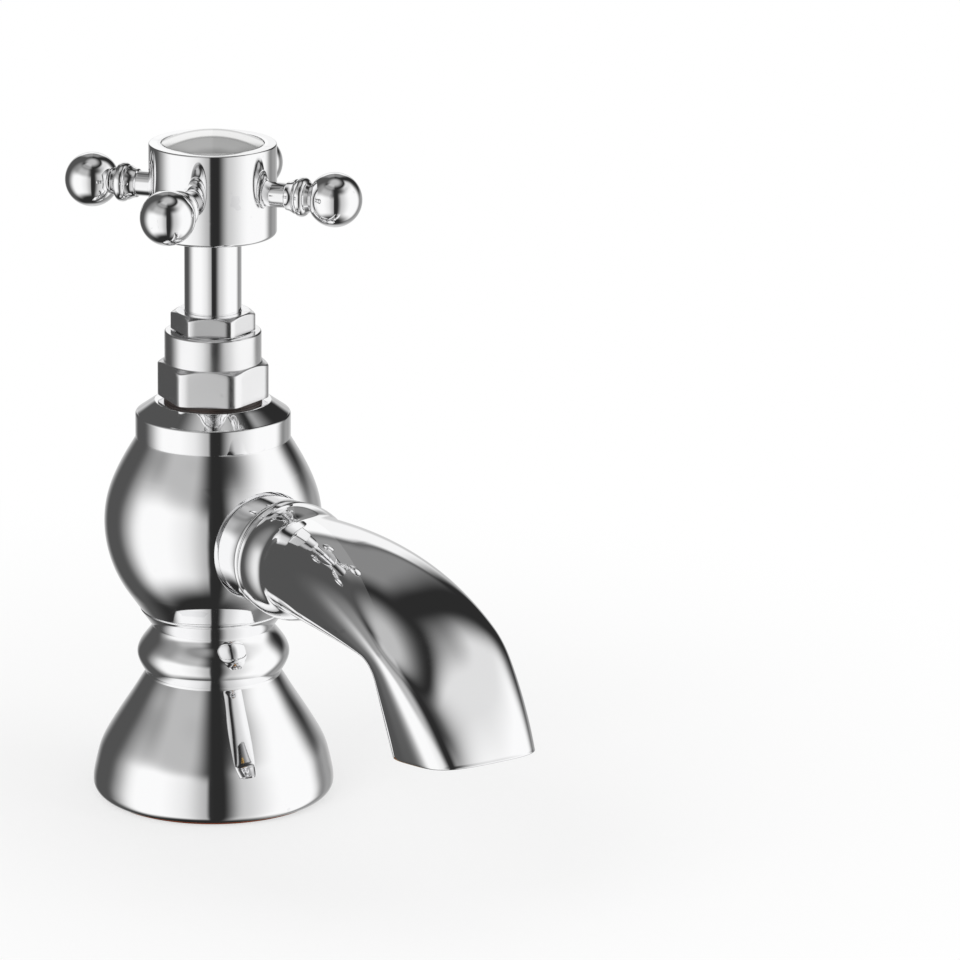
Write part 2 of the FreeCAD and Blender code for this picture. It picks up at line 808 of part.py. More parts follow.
def index_cap():
    """Plain domed cap in the hub's top."""
    under = cap_recess_bottom + cap_gasket_thickness
    edge = hub_top - 0.15
    crown = hub_top + cap_dome
    half = cap_radius / 2
    sphere = (cap_radius**2 + (crown - edge) ** 2) / (2 * (crown - edge))
    middle = crown - sphere + math.sqrt(sphere**2 - half**2)
    return turned(
        [
            line((0, under), (cap_radius, under)),
            line((cap_radius, under), (cap_radius, edge)),
            arc((cap_radius, edge), (half, middle), (0, crown)),
            line((0, crown), (0, under)),
        ]
    )


# ================================================================ the set

pieces = {
    "pedestal": pedestal(),
    "base_seal": base_seal(),
    "ball_body": ball_body(),
    "inlet_tail": inlet_tail(),
    "clamp_washer": clamp_washer(),
    "backnut": backnut(),
    "spout_collar": spout_collar(),
    "spout": spout(),
    "spout_seal": spout_seal(),
    "headwork_body": headwork_body(),
    "headwork_washer": headwork_washer(),
    "gland_packing": gland_packing(),
    "gland_nut": gland_nut(),
    "spindle": spindle(),
    "jumper": jumper(),
    "jumper_washer": jumper_washer(),
    "jumper_nut": jumper_nut(),
    "handle_hub": handle_hub(),
    "handle_screw": handle_screw(),
    "cap_gasket": cap_gasket(),
    "index_cap": index_cap(),
}
for number in range(arm_count):
    pieces[f"handle_arm_{number + 1}"] = arm(number)

for name, shape in pieces.items():
    solids = shape.Solids
    single = solids[0] if len(solids) == 1 else shape
    single.exportStep(f"parts/{name}.step")
    print(name, len(solids), shape.isValid(), round(shape.Volume, 1))
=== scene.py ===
"""Cross-handle bath pillar tap: the visible pieces, their finishes and a plain studio.

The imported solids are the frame.  Every piece that shows is worked out again as a fine
surface in the same place, and the pieces inside keep their solids with a finish of their own.
Sizes are in millimetres, as on a drawing, and become metres when a mesh is made.
"""

import logging
import math
from dataclasses import dataclass
from enum import Enum
from typing import Optional, Sequence, Union

import bmesh
import bpy
import numpy as np
from mathutils import Matrix, Vector


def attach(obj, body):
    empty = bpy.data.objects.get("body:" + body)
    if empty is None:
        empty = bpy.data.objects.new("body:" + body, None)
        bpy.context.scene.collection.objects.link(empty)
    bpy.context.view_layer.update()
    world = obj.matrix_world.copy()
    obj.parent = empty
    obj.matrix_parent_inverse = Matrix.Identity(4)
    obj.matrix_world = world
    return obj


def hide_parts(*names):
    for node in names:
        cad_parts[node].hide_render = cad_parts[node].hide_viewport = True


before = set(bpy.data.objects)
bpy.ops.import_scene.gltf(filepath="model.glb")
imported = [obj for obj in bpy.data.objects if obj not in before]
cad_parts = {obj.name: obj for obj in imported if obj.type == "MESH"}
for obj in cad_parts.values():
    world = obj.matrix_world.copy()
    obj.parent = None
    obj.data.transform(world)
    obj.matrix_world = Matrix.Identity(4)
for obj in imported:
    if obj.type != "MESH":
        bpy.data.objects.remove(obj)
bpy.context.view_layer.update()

log = logging.getLogger("tap")

MM = 0.001
TURN = 2 * math.pi
FULL_TURN_COLUMNS = 192
SUPPORT = 0.07  # distance from a run's end to its support point, in millimetres
SOFT_EDGE = 0.12  # length taken off each side of a plain corner
NEARLY_AHEAD = 0.995  # cosine above which two runs meet without a corner
# Places of the rings round a hole, 1 at the edge of its block and 0 at the hole.
RING_SHARES = (0.82, 0.64, 0.47, 0.31, 0.17, 0.07, 0.02, 0.0)
SEAM_CUT, SEAM_STEP = 0.25, 0.15  # width and height of the groove at the foot's joint
CHAMFER_SLOPE = math.tan(math.radians(30))
CHAMFER_SHARE = 0.97  # radius at which a nut's chamfer starts, as a share of half its flats

Thing = bpy.types.Object
Tree = bpy.types.NodeTree
Socket = bpy.types.NodeSocket
Point = Sequence[float]
Pair = tuple[float, float]
Pairs = tuple[Pair, ...]
Colour = tuple[float, float, float]
Limits = tuple[float, float, float, float]
Value = Union[Socket, float, Sequence[float]]


class Body(Enum):
    """The moving bodies of the tap."""

    TAP = "tap_body"
    HANDLE = "handle"


class Slot(Enum):
    """The material slots of the record."""

    CHROME = "chrome_plate"
    BRASS = "raw_brass"
    RUBBER = "rubber_black"
    FIBRE = "fibre_red"
    PACKING = "packing_white"
    STEEL = "steel_screw"
    CAP = "white_cap"


# ---------------------------------------------------------------- outlines


def straight(start: Point, end: Point, step: float = 4.0) -> np.ndarray:
    """A straight run of outline points with a support point close to each end.

    Args:
        start: First (radius, height) point.
        end: Last (radius, height) point.
        step: Longest distance between points.

    Returns:
        Points, shape (n, 2): start + t * (end - start), t from 0 to 1.
    """
    a, b = np.asarray(start, float), np.asarray(end, float)
    length = float(np.linalg.norm(b - a))
    edge = min(SUPPORT / length, 0.2)
    count = max(2, int(math.ceil(length / step)) + 1)
    share = np.concatenate([[0.0], np.linspace(edge, 1 - edge, count), [1.0]])
    return a + share[:, None] * (b - a)


def bow(start: Point, middle: Point, end: Point, count: int = 12) -> np.ndarray:
    """A circular arc through three outline points.

    Args:
        start: First point.
        middle: A point on the arc between the two ends.
        end: Last point.
        count: Number of points on the arc.

    Returns:
        Points, shape (count, 2): centre + radius * (cos, sin) of evenly spaced angles.
    """
    a, m, b = (np.asarray(p, float) for p in (start, middle, end))
    rows = 2 * np.array([m - a, b - a])
    right = np.array([m @ m - a @ a, b @ b - a @ a])
    centre = np.linalg.solve(rows, right)
    radius = np.linalg.norm(a - centre)
    first, through, last = (math.atan2(p[1] - centre[1], p[0] - centre[0]) for p in (a, m, b))
    forward = (last - first) % TURN
    if (through - first) % TURN > forward:
        forward -= TURN
    angles = first + np.linspace(0.0, forward, count)
    return centre + radius * np.stack([np.cos(angles), np.sin(angles)], axis=1)


def flowing(
    knots: Sequence[Point],
    start: Optional[Point] = None,
    end: Optional[Point] = None,
    step: float = 0.45,
) -> np.ndarray:
    """A smooth run through outline knots: the cubic spline with a continuous curvature.

    Args:
        knots: (radius, height) points to pass through.
        start: Direction at the first knot, or none for a free end.
        end: Direction at the last knot, or none for a free end.
        step: Distance between the points that come back.

    Returns:
        Points, shape (n, 2), at even steps of the chord-length parameter.
    """
    p = np.asarray(knots, float)
    gaps = np.linalg.norm(np.diff(p, axis=0), axis=1)
    t = np.concatenate([[0.0], np.cumsum(gaps)])
    n = len(p)
    matrix = np.zeros((n, n))
    right = np.zeros((n, 2))
    inner = np.arange(1, n - 1)
    before, after = gaps[inner - 1], gaps[inner]
    matrix[inner, inner - 1] = after
    matrix[inner, inner] = 2 * (before + after)
    matrix[inner, inner + 1] = before
    rise_before = (p[inner] - p[inner - 1]) / before[:, None]
    rise_after = (p[inner + 1] - p[inner]) / after[:, None]
    right[inner] = 3 * (after[:, None] * rise_before + before[:, None] * rise_after)
    for row, direction, near, gap in ((0, start, 1, gaps[0]), (n - 1, end, n - 2, gaps[-1])):
        if direction is None:
            matrix[row, row], matrix[row, near] = 2.0, 1.0
            sign = 1.0 if row == 0 else -1.0
            right[row] = sign * 3 * (p[near] - p[row]) / gap
        else:
            matrix[row, row] = 1.0
            right[row] = np.asarray(direction, float) / np.linalg.norm(direction)
    slopes = np.linalg.solve(matrix, right)
    count = max(8, int(math.ceil(t[-1] / step)) + 1)
    s = np.linspace(0.0, t[-1], count)
    k = np.clip(np.searchsorted(t, s, side="right") - 1, 0, n - 2)
    u = ((s - t[k]) / gaps[k])[:, None]
    h = gaps[k][:, None]
    return (
        (2 * u**3 - 3 * u**2 + 1) * p[k]
        + (u**3 - 2 * u**2 + u) * h * slopes[k]
        + (3 * u**2 - 2 * u**3) * p[k + 1]
        + (u**3 - u**2) * h * slopes[k + 1]
    )


def along(points: np.ndarray) -> np.ndarray:
    """The running length of an outline at each of its points."""
    return np.concatenate([[0.0], np.cumsum(np.linalg.norm(np.diff(points, axis=0), axis=1))])


def trimmed(points: np.ndarray, from_start: float, from_end: float) -> np.ndarray:
    """An outline without its first and last stretch.

    Args:
        points: The outline.
        from_start: Length to take off at the start.
        from_end: Length to take off at the end.

    Returns:
        The shorter outline; its new ends are interpolated on the old one.
    """
    s = along(points)
    low, high = from_start, s[-1] - from_end
    kept = s[(s > low + 1e-6) & (s < high - 1e-6)]
    wanted = np.concatenate([[low], kept, [high]])
    return np.stack([np.interp(wanted, s, points[:, axis]) for axis in (0, 1)], axis=1)


def joined(runs: Sequence[np.ndarray], soft: float = SOFT_EDGE, closed: bool = False) -> np.ndarray:
    """One outline from several runs, with every corner between two runs rounded.

    Args:
        runs: Outlines that follow each other end to start.
        soft: Length taken off each side of a corner for its rounding.
        closed: True if the last run ends where the first one starts.

    Returns:
        The whole outline.  A rounding is the quadratic curve
        (1 - t)^2 * a + 2 t (1 - t) * corner + t^2 * b between the trimmed ends a and b.
    """
    count = len(runs)
    headings = [(run[1] - run[0], run[-1] - run[-2]) for run in runs]
    unit = [(a / np.linalg.norm(a), b / np.linalg.norm(b)) for a, b in headings]
    corners = [float(unit[i][1] @ unit[(i + 1) % count][0]) < NEARLY_AHEAD for i in range(count)]
    if not closed:
        corners[-1] = False
    lengths = [along(run)[-1] for run in runs]
    most = 0.3
    out = []
    for i, run in enumerate(runs):
        before = corners[i - 1] if i > 0 or closed else False
        reach = [min(soft, most * lengths[i], most * lengths[j % count]) for j in (i - 1, i + 1)]
        cut = trimmed(run, reach[0] if before else 0.0, reach[1] if corners[i] else 0.0)
        out.append(cut if not out or before else cut[1:])
        if corners[i]:
            follower = runs[(i + 1) % count]
            a = cut[-1]
            b = trimmed(follower, reach[1], 0.0)[0]
            t = np.linspace(0.0, 1.0, 7)[1:-1, None]
            out.append((1 - t) ** 2 * a + 2 * t * (1 - t) * run[-1] + t**2 * b)
    outline = np.concatenate(out)
    if closed and np.linalg.norm(outline[0] - outline[-1]) < 1e-6:
        outline = outline[:-1]
    return outline


def polyline(points: Sequence[Point], step: float = 4.0) -> list[np.ndarray]:
    """Straight runs from each outline point to the next."""
    return [straight(a, b, step) for a, b in zip(points, points[1:])]


def boxed(outer: float, hole: float, low: float, high: float) -> list[Pair]:
    """Corners of a plain ring's half section, from the lower outer one round to it again."""
    return [(outer, low), (outer, high), (hole, high), (hole, low), (outer, low)]


def cornered(
    points: Sequence[Point], soft: float = SOFT_EDGE, closed: bool = False, step: float = 4.0
) -> np.ndarray:
    """An outline of straight runs through points, with its corners rounded."""
    return joined(polyline(points, step), soft, closed)


# ---------------------------------------------------------------- meshes


def placed(name: str, data: bpy.types.ID) -> Thing:
    """A new object with its data, linked to the scene.

    Args:
        name: Name of the object.
        data: Its mesh, lamp or camera.

    Returns:
        The object.
    """
    thing = bpy.data.objects.new(name, data)
    bpy.context.scene.collection.objects.link(thing)
    return thing


def mesh_object(name: str, vertices: np.ndarray, faces: Sequence[np.ndarray]) -> Thing:
    """A smooth-shaded object at the origin from vertices in millimetres.

    Args:
        name: Name of the piece.
        vertices: Shape (n, 3), in millimetres.
        faces: Arrays of corner indices, one array for each number of corners.

    Returns:
        The linked object, its vertices in metres.
    """
    mesh = bpy.data.meshes.new(name)
    sizes = np.concatenate([np.full(len(f), f.shape[1]) for f in faces if len(f)])
    corners = np.concatenate([f.ravel() for f in faces if len(f)])
    starts = np.concatenate([[0], np.cumsum(sizes)[:-1]])
    mesh.vertices.add(len(vertices))
    mesh.vertices.foreach_set("co", (np.asarray(vertices, float) * MM).astype(np.float32).ravel())
    mesh.loops.add(len(corners))
    mesh.loops.foreach_set("vertex_index", corners.astype(np.int32))
    mesh.polygons.add(len(sizes))
    mesh.polygons.foreach_set("loop_start", starts.astype(np.int32))
    mesh.polygons.foreach_set("loop_total", sizes.astype(np.int32))
    mesh.polygons.foreach_set("use_smooth", np.ones(len(sizes), bool))
    mesh.update(calc_edges=True)
    mesh.validate()
    return placed(name, mesh)


def grid_faces(rows: int, columns: int, wrap_rows: bool, offset: int = 0) -> np.ndarray:
    """Corner indices of the quads of a grid of closed rings stored row by row.

    Args:
        rows: Number of rings.
        columns: Number of vertices in a ring.
        wrap_rows: True if the last ring joins the first.
        offset: Index of the grid's first vertex.

    Returns:
        Shape (quads, 4).
    """
    ring = np.arange(rows if wrap_rows else rows - 1)
    a, b = np.meshgrid(ring, np.arange(columns), indexing="ij")
    a, a2, b2 = a * columns, (a + 1) % rows * columns, (b + 1) % columns
    return np.stack([a + b, a + b2, a2 + b2, a2 + b], axis=-1).reshape(-1, 4) + offset


def band_faces(first: np.ndarray, second: np.ndarray) -> np.ndarray:
    """Quads between two closed loops of vertex indices."""
    loops = [first, np.roll(first, -1), np.roll(second, -1), second]
    return np.stack(loops, axis=1)


def fan_faces(ring_start: int, columns: int, pole: int, flip: bool) -> np.ndarray:
    """Triangles from a ring of vertices to one pole vertex.

    Args:
        ring_start: Index of the ring's first vertex.
        columns: Number of vertices in the ring.
        pole: Index of the pole vertex.
        flip: True to turn the triangles over.

    Returns:
        Shape (columns, 3).
    """
    c = np.arange(columns)
    after = (c + 1) % columns
    order = (after, c) if flip else (c, after)
    return np.stack([ring_start + order[0], ring_start + order[1], np.full(columns, pole)], axis=1)


def tube(name: str, points: np.ndarray, wrap_rows: bool) -> Thing:
    """A mesh from a grid of points whose rows are closed rings.

    Args:
        name: Name of the piece.
        points: Shape (rows, columns, 3), in millimetres.  A first or last row that is a
            single place becomes a pole.
        wrap_rows: True if the last row joins the first one.

    Returns:
        The object, its faces turned outwards.
    """
    rows, columns = points.shape[:2]
    first = not wrap_rows and float(np.ptp(points[0], axis=0).max()) < 1e-6
    last = not wrap_rows and float(np.ptp(points[-1], axis=0).max()) < 1e-6
    body = points[int(first) : rows - int(last)]
    vertices = [body.reshape(-1, 3)]
    faces = [grid_faces(len(body), columns, wrap_rows)]
    fans = []
    total = len(body) * columns
    if first:
        vertices.append(points[0, :1])
        fans.append(fan_faces(0, columns, total, True))
        total += 1
    if last:
        vertices.append(points[-1, :1])
        fans.append(fan_faces((len(body) - 1) * columns, columns, total, False))
    if fans:
        faces.append(np.concatenate(fans))
    return outward(mesh_object(name, np.concatenate(vertices), faces))


def outward(thing: Thing) -> Thing:
    """Turns a closed mesh's faces so that the volume they bound counts as positive.

    Args:
        thing: The object.

    Returns:
        The same object.  The volume's sign is that of the sum of a . (b x c) over all
        triangles.
    """
    mesh = thing.data
    mesh.calc_loop_triangles()
    co = np.empty(len(mesh.vertices) * 3, np.float32)
    mesh.vertices.foreach_get("co", co)
    corner = np.empty(len(mesh.loop_triangles) * 3, np.int32)
    mesh.loop_triangles.foreach_get("vertices", corner)
    a, b, c = np.moveaxis(co.reshape(-1, 3)[corner.reshape(-1, 3)].astype(float), 1, 0)
    if float(np.einsum("ij,ij->i", a, np.cross(b, c)).sum()) < 0:
        mesh.flip_normals()
    return thing


def polar_points(radius: np.ndarray, angle: np.ndarray, height: np.ndarray) -> np.ndarray:
    """Points (radius * cos(angle), radius * sin(angle), height) of arrays that broadcast."""
    axes = np.broadcast_arrays(radius * np.cos(angle), radius * np.sin(angle), height)
    return np.stack(axes, axis=-1)


def around(columns: int) -> np.ndarray:
    """Even angles round a full turn, from 0."""
    return np.arange(columns) * TURN / columns


def spun(outline: np.ndarray, columns: int = FULL_TURN_COLUMNS) -> np.ndarray:
    """The grid, shape (rows, columns, 3), that a (radius, height) outline makes about Z."""
    return polar_points(outline[:, :1], around(columns), outline[:, 1:])


def turned(name: str, outline: np.ndarray, closed: bool = True) -> Thing:
    """A surface of revolution about Z.

    Args:
        name: Name of the piece.
        outline: (radius, height) points of the half section.
        closed: True if the outline is a loop clear of the axis, False if it starts and
            ends on the axis.

    Returns:
        The object: x = r cos a, y = r sin a, z = h.
    """
    return tube(name, spun(outline), closed)


def about_z(points: np.ndarray, degrees: float) -> np.ndarray:
    """Points turned about the Z axis.

    Args:
        points: Shape (..., 3).
        degrees: Angle, anticlockwise seen from above.

    Returns:
        (x cos a - y sin a, x sin a + y cos a, z).
    """
    c, s = math.cos(math.radians(degrees)), math.sin(math.radians(degrees))
    matrix = np.array([[c, -s, 0], [s, c, 0], [0, 0, 1]])
    return points @ matrix.T


def laid_outward(points: np.ndarray, degrees: float, height: float) -> np.ndarray:
    """Points built about Z, laid down so that +Z points away from the spindle.

    Args:
        points: Points about the Z axis.
        degrees: Direction of the laid axis, anticlockwise from +X.
        height: Height of the laid axis.

    Returns:
        Points with (x, y, z) -> (z, y, -x), turned and lifted.
    """
    flat = np.stack([points[..., 2], points[..., 1], -points[..., 0]], axis=-1)
    return about_z(flat, degrees) + np.array([0.0, 0.0, height])


@dataclass
class Opening:
    """A round hole in one wall of a turned shell, with the block of grid cells it takes.

    Attributes:
        radius: Radius of the hole.
        height: Height of the hole's axis.
        degrees: Direction of the hole's axis from +X.
        low: First row of the block.
        high: Last row of the block.
        half_columns: Columns that the block takes on each side of the hole's axis.
    """

    radius: float
    height: float
    degrees: float
    low: int
    high: int
    half_columns: int


@dataclass
class Port:
    """A lined hole that starts at one wall and ends in a flat bottom or at another wall.

    Attributes:
        mouth: The hole in the outer wall.
        steps: (radius, distance from the spindle's axis) of the rings that line it.
        inner: The hole in the inner wall, or none if the port ends in a flat bottom.
    """

    mouth: Opening
    steps: Sequence[Pair]
    inner: Optional[Opening] = None


def rows_between(
    outline: np.ndarray, low: float, high: float, inside: bool, count: int
) -> tuple[np.ndarray, int]:
    """An outline with even rows between two heights of one wall.

    Args:
        outline: Closed outline: up the outer wall, then down the inner wall.
        low: Lower height.
        high: Upper height.
        inside: True for the inner wall, whose rows run down.
        count: Number of steps between the two heights.

    Returns:
        The outline and the index of the first of the count + 1 even rows, on the first wall
        that passes there.
    """
    rising = np.gradient(outline[:, 1]) > 0
    index = np.arange(len(outline))
    within = (outline[:, 1] > low) & (outline[:, 1] < high) & (rising != inside)
    picked = index[within]
    breaks = np.flatnonzero(np.diff(picked) > 1)
    first, last = int(picked[0]), int(picked[breaks[0]] if len(breaks) else picked[-1])
    run = outline[first - 1 : last + 2]
    order = np.argsort(run[:, 1])
    heights = np.linspace(*((high, low) if inside else (low, high)), count + 1)
    radii = np.interp(heights, run[order, 1], run[order, 0])
    fresh = np.stack([radii, heights], axis=1)
    return np.concatenate([outline[:first], fresh, outline[last + 1 :]]), first


@dataclass
class PortedShell:
    """A turned surface whose grid opens round one or more round holes.

    Round each hole a block of grid cells is left out, and rings that change step by step
    from the block's edge to the hole take their place, so the surface stays smooth there.

    Attributes:
        outline: Closed (radius, height) outline of the section.
        ports: The holes.
        columns: Number of points round the axis.
    """

    outline: np.ndarray
    ports: Sequence[Port]
    columns: int = FULL_TURN_COLUMNS

    def rings(self, opening: Opening) -> tuple[np.ndarray, np.ndarray, np.ndarray]:
        """The block's edge and the rings on the wall between it and the hole.

        Args:
            opening: The hole.

        Returns:
            Indices of the grid vertices on the block's edge, the rings on the wall with the
            hole's own ring last, and the direction of each spoke in the wall.  A ring is
            (1 - t) * hole + t * edge in (angle, height), put back on the wall.
        """
        low, high, half = opening.low, opening.high, opening.half_columns
        up, side = np.arange(low, high), np.arange(-half, half)
        top, bottom = np.full(2 * half, high), np.full(2 * half, low)
        left, right = np.full(high - low, -half), np.full(high - low, half)
        rows = np.concatenate([up, top, up[::-1] + 1, bottom])
        cols = np.concatenate([left, side, right, side[::-1] + 1])
        wall = self.outline[low : high + 1]
        order = np.argsort(wall[:, 1])

        def radius_at(height: np.ndarray) -> np.ndarray:
            """Radius of the wall at each height."""
            return np.interp(height, wall[order, 1], wall[order, 0])

        middle = int(round(opening.degrees / 360 * self.columns))
        swing = math.radians(opening.degrees) - middle * TURN / self.columns
        edge_angle = cols * TURN / self.columns
        edge_height = self.outline[rows, 1]
        sideways = (edge_angle - swing) * radius_at(edge_height)
        spoke = np.arctan2(edge_height - opening.height, sideways)
        hole_height = opening.height + opening.radius * np.sin(spoke)
        hole_angle = np.arcsin(opening.radius * np.cos(spoke) / radius_at(hole_height)) + swing
        share = np.array(RING_SHARES)[:, None]
        angle = share * edge_angle + (1 - share) * hole_angle + middle * TURN / self.columns
        height = share * edge_height + (1 - share) * hole_height
        on_wall = polar_points(radius_at(height), angle, height)
        return rows * self.columns + (middle + cols) % self.columns, on_wall, spoke

    def build(self, name: str) -> Thing:
        """The shell as one mesh.

        Args:
            name: Name of the piece.

        Returns:
            The object.
        """
        grid = spun(self.outline, self.columns)
        keep = np.ones(grid.shape[:2], bool)
        vertices, faces = [grid.reshape(-1, 3)], []
        total = keep.size
        for port in self.ports:
            edge, on_wall, spoke = self.rings(port.mouth)
            self.leave_out(keep, port.mouth)
            lining = np.array(port.steps, float)
            sideways = lining[:, :1] * np.cos(spoke)
            distance = np.broadcast_to(lining[:, 1:], sideways.shape)
            lift = port.mouth.height + lining[:, :1] * np.sin(spoke)
            bore = about_z(np.stack([distance, sideways, lift], axis=-1), port.mouth.degrees)
            rings, last_edge = [on_wall, bore], None
            if port.inner is not None:
                last_edge, inner_wall, _ = self.rings(port.inner)
                self.leave_out(keep, port.inner)
                rings.append(inner_wall[::-1])
            stack = np.concatenate(rings)
            rows, count = stack.shape[:2]
            first = total + np.arange(count)
            vertices.append(stack.reshape(-1, 3))
            faces += [band_faces(edge, first), grid_faces(rows, count, False, total)]
            if last_edge is not None:
                faces.append(band_faces(first + (rows - 1) * count, last_edge))
            total += rows * count
        faces.insert(0, grid_faces(*grid.shape[:2], True)[keep.ravel()])
        thing = mesh_object(name, np.concatenate(vertices), faces)
        merge(thing, 1e-7)
        return outward(thing)

    def leave_out(self, keep: np.ndarray, opening: Opening) -> None:
        """Marks the grid cells of a hole's block as left out.

        Args:
            keep: True for each grid cell that stays, changed in place.
            opening: The hole.
        """
        middle = int(round(opening.degrees / 360 * self.columns))
        cells = (middle + np.arange(-opening.half_columns, opening.half_columns)) % self.columns
        keep[opening.low : opening.high, cells] = False


def merge(thing: Thing, distance: float) -> None:
    """Merges vertices, drops empty faces and turns the rest outwards.

    Args:
        thing: The object.
        distance: Distance in metres within which vertices count as one.
    """
    work = bmesh.new()
    work.from_mesh(thing.data)
    bmesh.ops.remove_doubles(work, verts=work.verts, dist=distance)
    bmesh.ops.dissolve_degenerate(work, edges=work.edges, dist=distance)
    bmesh.ops.recalc_face_normals(work, faces=work.faces)
    work.to_mesh(thing.data)
    work.free()
    thing.data.polygons.foreach_set("use_smooth", np.ones(len(thing.data.polygons), bool))


def between(a: Point, b: Point, *shares: Pair) -> list[Pair]:
    """Points part of the way from one outline point to another, each way by its own share."""
    return [(a[0] + out * (b[0] - a[0]), a[1] + up * (b[1] - a[1])) for out, up in shares]


# ---------------------------------------------------------------- finishes


@dataclass
class Graph:
    """A node tree with short ways to add the nodes that are used most.

    Attributes:
        tree: The node tree.
    """

    tree: Tree

    def add(self, kind: str) -> bpy.types.Node:
        """A new shader node of a kind."""
        return self.tree.nodes.new("ShaderNode" + kind)

    def feed(self, node: bpy.types.Node, values: dict[Union[int, str], Value]) -> None:
        """Gives inputs of a node their values, a link where the value is a socket.

        Args:
            node: The node.
            values: Names or numbers of inputs, with the value of each.
        """
        for key, value in values.items():
            if isinstance(value, Socket):
                self.tree.links.new(value, node.inputs[key])
            else:
                node.inputs[key].default_value = value

    def maths(self, kind: str, first: Value, second: Value = 0.0) -> Socket:
        """The output of a Math node.

        Args:
            kind: The node's operation.
            first: First socket or number.
            second: Second socket or number.

        Returns:
            The output.
        """
        node = self.add("Math")
        node.operation = kind
        self.feed(node, {0: first, 1: second})
        return node.outputs[0]

    def times(self, first: Value, second: Value) -> Socket:
        """One socket or number times another."""
        return self.maths("MULTIPLY", first, second)

    def plus(self, first: Value, second: Value) -> Socket:
        """One socket or number plus another."""
        return self.maths("ADD", first, second)

    def noise(self, vector: Socket, scale: Value, detail: float) -> Socket:
        """The output of a Noise Texture.

        Args:
            vector: Place to read it at.
            scale: Scale per metre.
            detail: Number of octaves.

        Returns:
            The Fac output.
        """
        node = self.add("TexNoise")
        self.feed(node, {"Detail": detail, "Vector": vector, "Scale": scale})
        return node.outputs["Fac"]

    def remap(self, value: Socket, old: Pair, new: Sequence[Value] = (0.0, 1.0)) -> Socket:
        """A Map Range node with a smooth step and clamped ends.

        Args:
            value: The socket to map.
            old: The range that comes in.
            new: The two ends that go out, as numbers or sockets.

        Returns:
            The mapped value.
        """
        node = self.add("MapRange")
        node.interpolation_type = "SMOOTHSTEP"
        ends = {"From Min": old[0], "From Max": old[1], "To Min": new[0], "To Max": new[1]}
        self.feed(node, {"Value": value, **ends})
        return node.outputs["Result"]

    def mixed(self, share: Socket, first: Socket, second: Socket) -> Socket:
        """Two shaders mixed.

        Args:
            share: Share of the second shader.
            first: First shader.
            second: Second shader.

        Returns:
            The mixed shader.
        """
        node = self.add("MixShader")
        self.feed(node, {0: share, 1: first, 2: second})
        return node.outputs[0]


def new_material(name: str) -> tuple[bpy.types.Material, Graph]:
    """A new node material.

    Args:
        name: Name of the material.

    Returns:
        The material and its graph.
    """
    made = bpy.data.materials.new(name)
    made.use_nodes = True
    return made, Graph(made.node_tree)


@dataclass(frozen=True)
class WearGroup:
    """The shader group that all finishes share: fine grain, worn edges, dried water marks.

    Attributes:
        name: Name of the group.
        edges: Pointiness at which wear starts and is full.
        spots: Noise at which a water mark starts and is full.
        patches: Noise at which a patch of marks starts and is full.
    """

    name: str = "surface wear"
    edges: Pair = (0.545, 0.62)
    spots: Pair = (0.66, 0.72)
    patches: Pair = (0.50, 0.68)

    def tree(self) -> Tree:
        """The group, built once.

        Returns:
            A node tree with inputs Vector, Grain Scale, Roughness and Spread, and outputs
            Edge (a mask that is 1 on worn edges), Marks (a mask of dried water marks),
            Roughness (the input spread by noise and marks) and Height (for a Bump node).
        """
        known = bpy.data.node_groups.get(self.name)
        if known:
            return known
        tree = bpy.data.node_groups.new(self.name, "ShaderNodeTree")
        for way, kind, labels in (
            ("INPUT", "Vector", ("Vector",)),
            ("INPUT", "Float", ("Grain Scale", "Roughness", "Spread")),
            ("OUTPUT", "Float", ("Edge", "Marks", "Roughness", "Height")),
        ):
            for label in labels:
                tree.interface.new_socket(label, in_out=way, socket_type="NodeSocket" + kind)
        graph = Graph(tree)
        inside = tree.nodes.new("NodeGroupInput").outputs
        out = tree.nodes.new("NodeGroupOutput")
        vector, spread = inside["Vector"], inside["Spread"]
        point = graph.add("NewGeometry").outputs["Pointiness"]
        broken = graph.times(graph.noise(vector, 420.0, 5.0), 0.05)
        edge = graph.remap(graph.plus(point, broken), self.edges)
        spots = graph.remap(graph.noise(vector, 260.0, 2.0), self.spots)
        patch = graph.remap(graph.noise(vector, 35.0, 3.0), self.patches)
        marks = graph.times(spots, patch)
        grain = graph.noise(vector, inside["Grain Scale"], 4.0)
        swing = graph.times(graph.maths("SUBTRACT", patch, 0.4), spread)
        fine = graph.times(graph.maths("SUBTRACT", grain, 0.5), spread)
        marked = graph.times(marks, spread)
        rough = graph.plus(graph.plus(inside["Roughness"], swing), graph.plus(fine, marked))
        rough = graph.maths("MAXIMUM", rough, 0.01)
        height = graph.plus(grain, graph.times(marks, 0.3))
        graph.feed(out, {"Edge": edge, "Marks": marks, "Roughness": rough, "Height": height})
        return tree


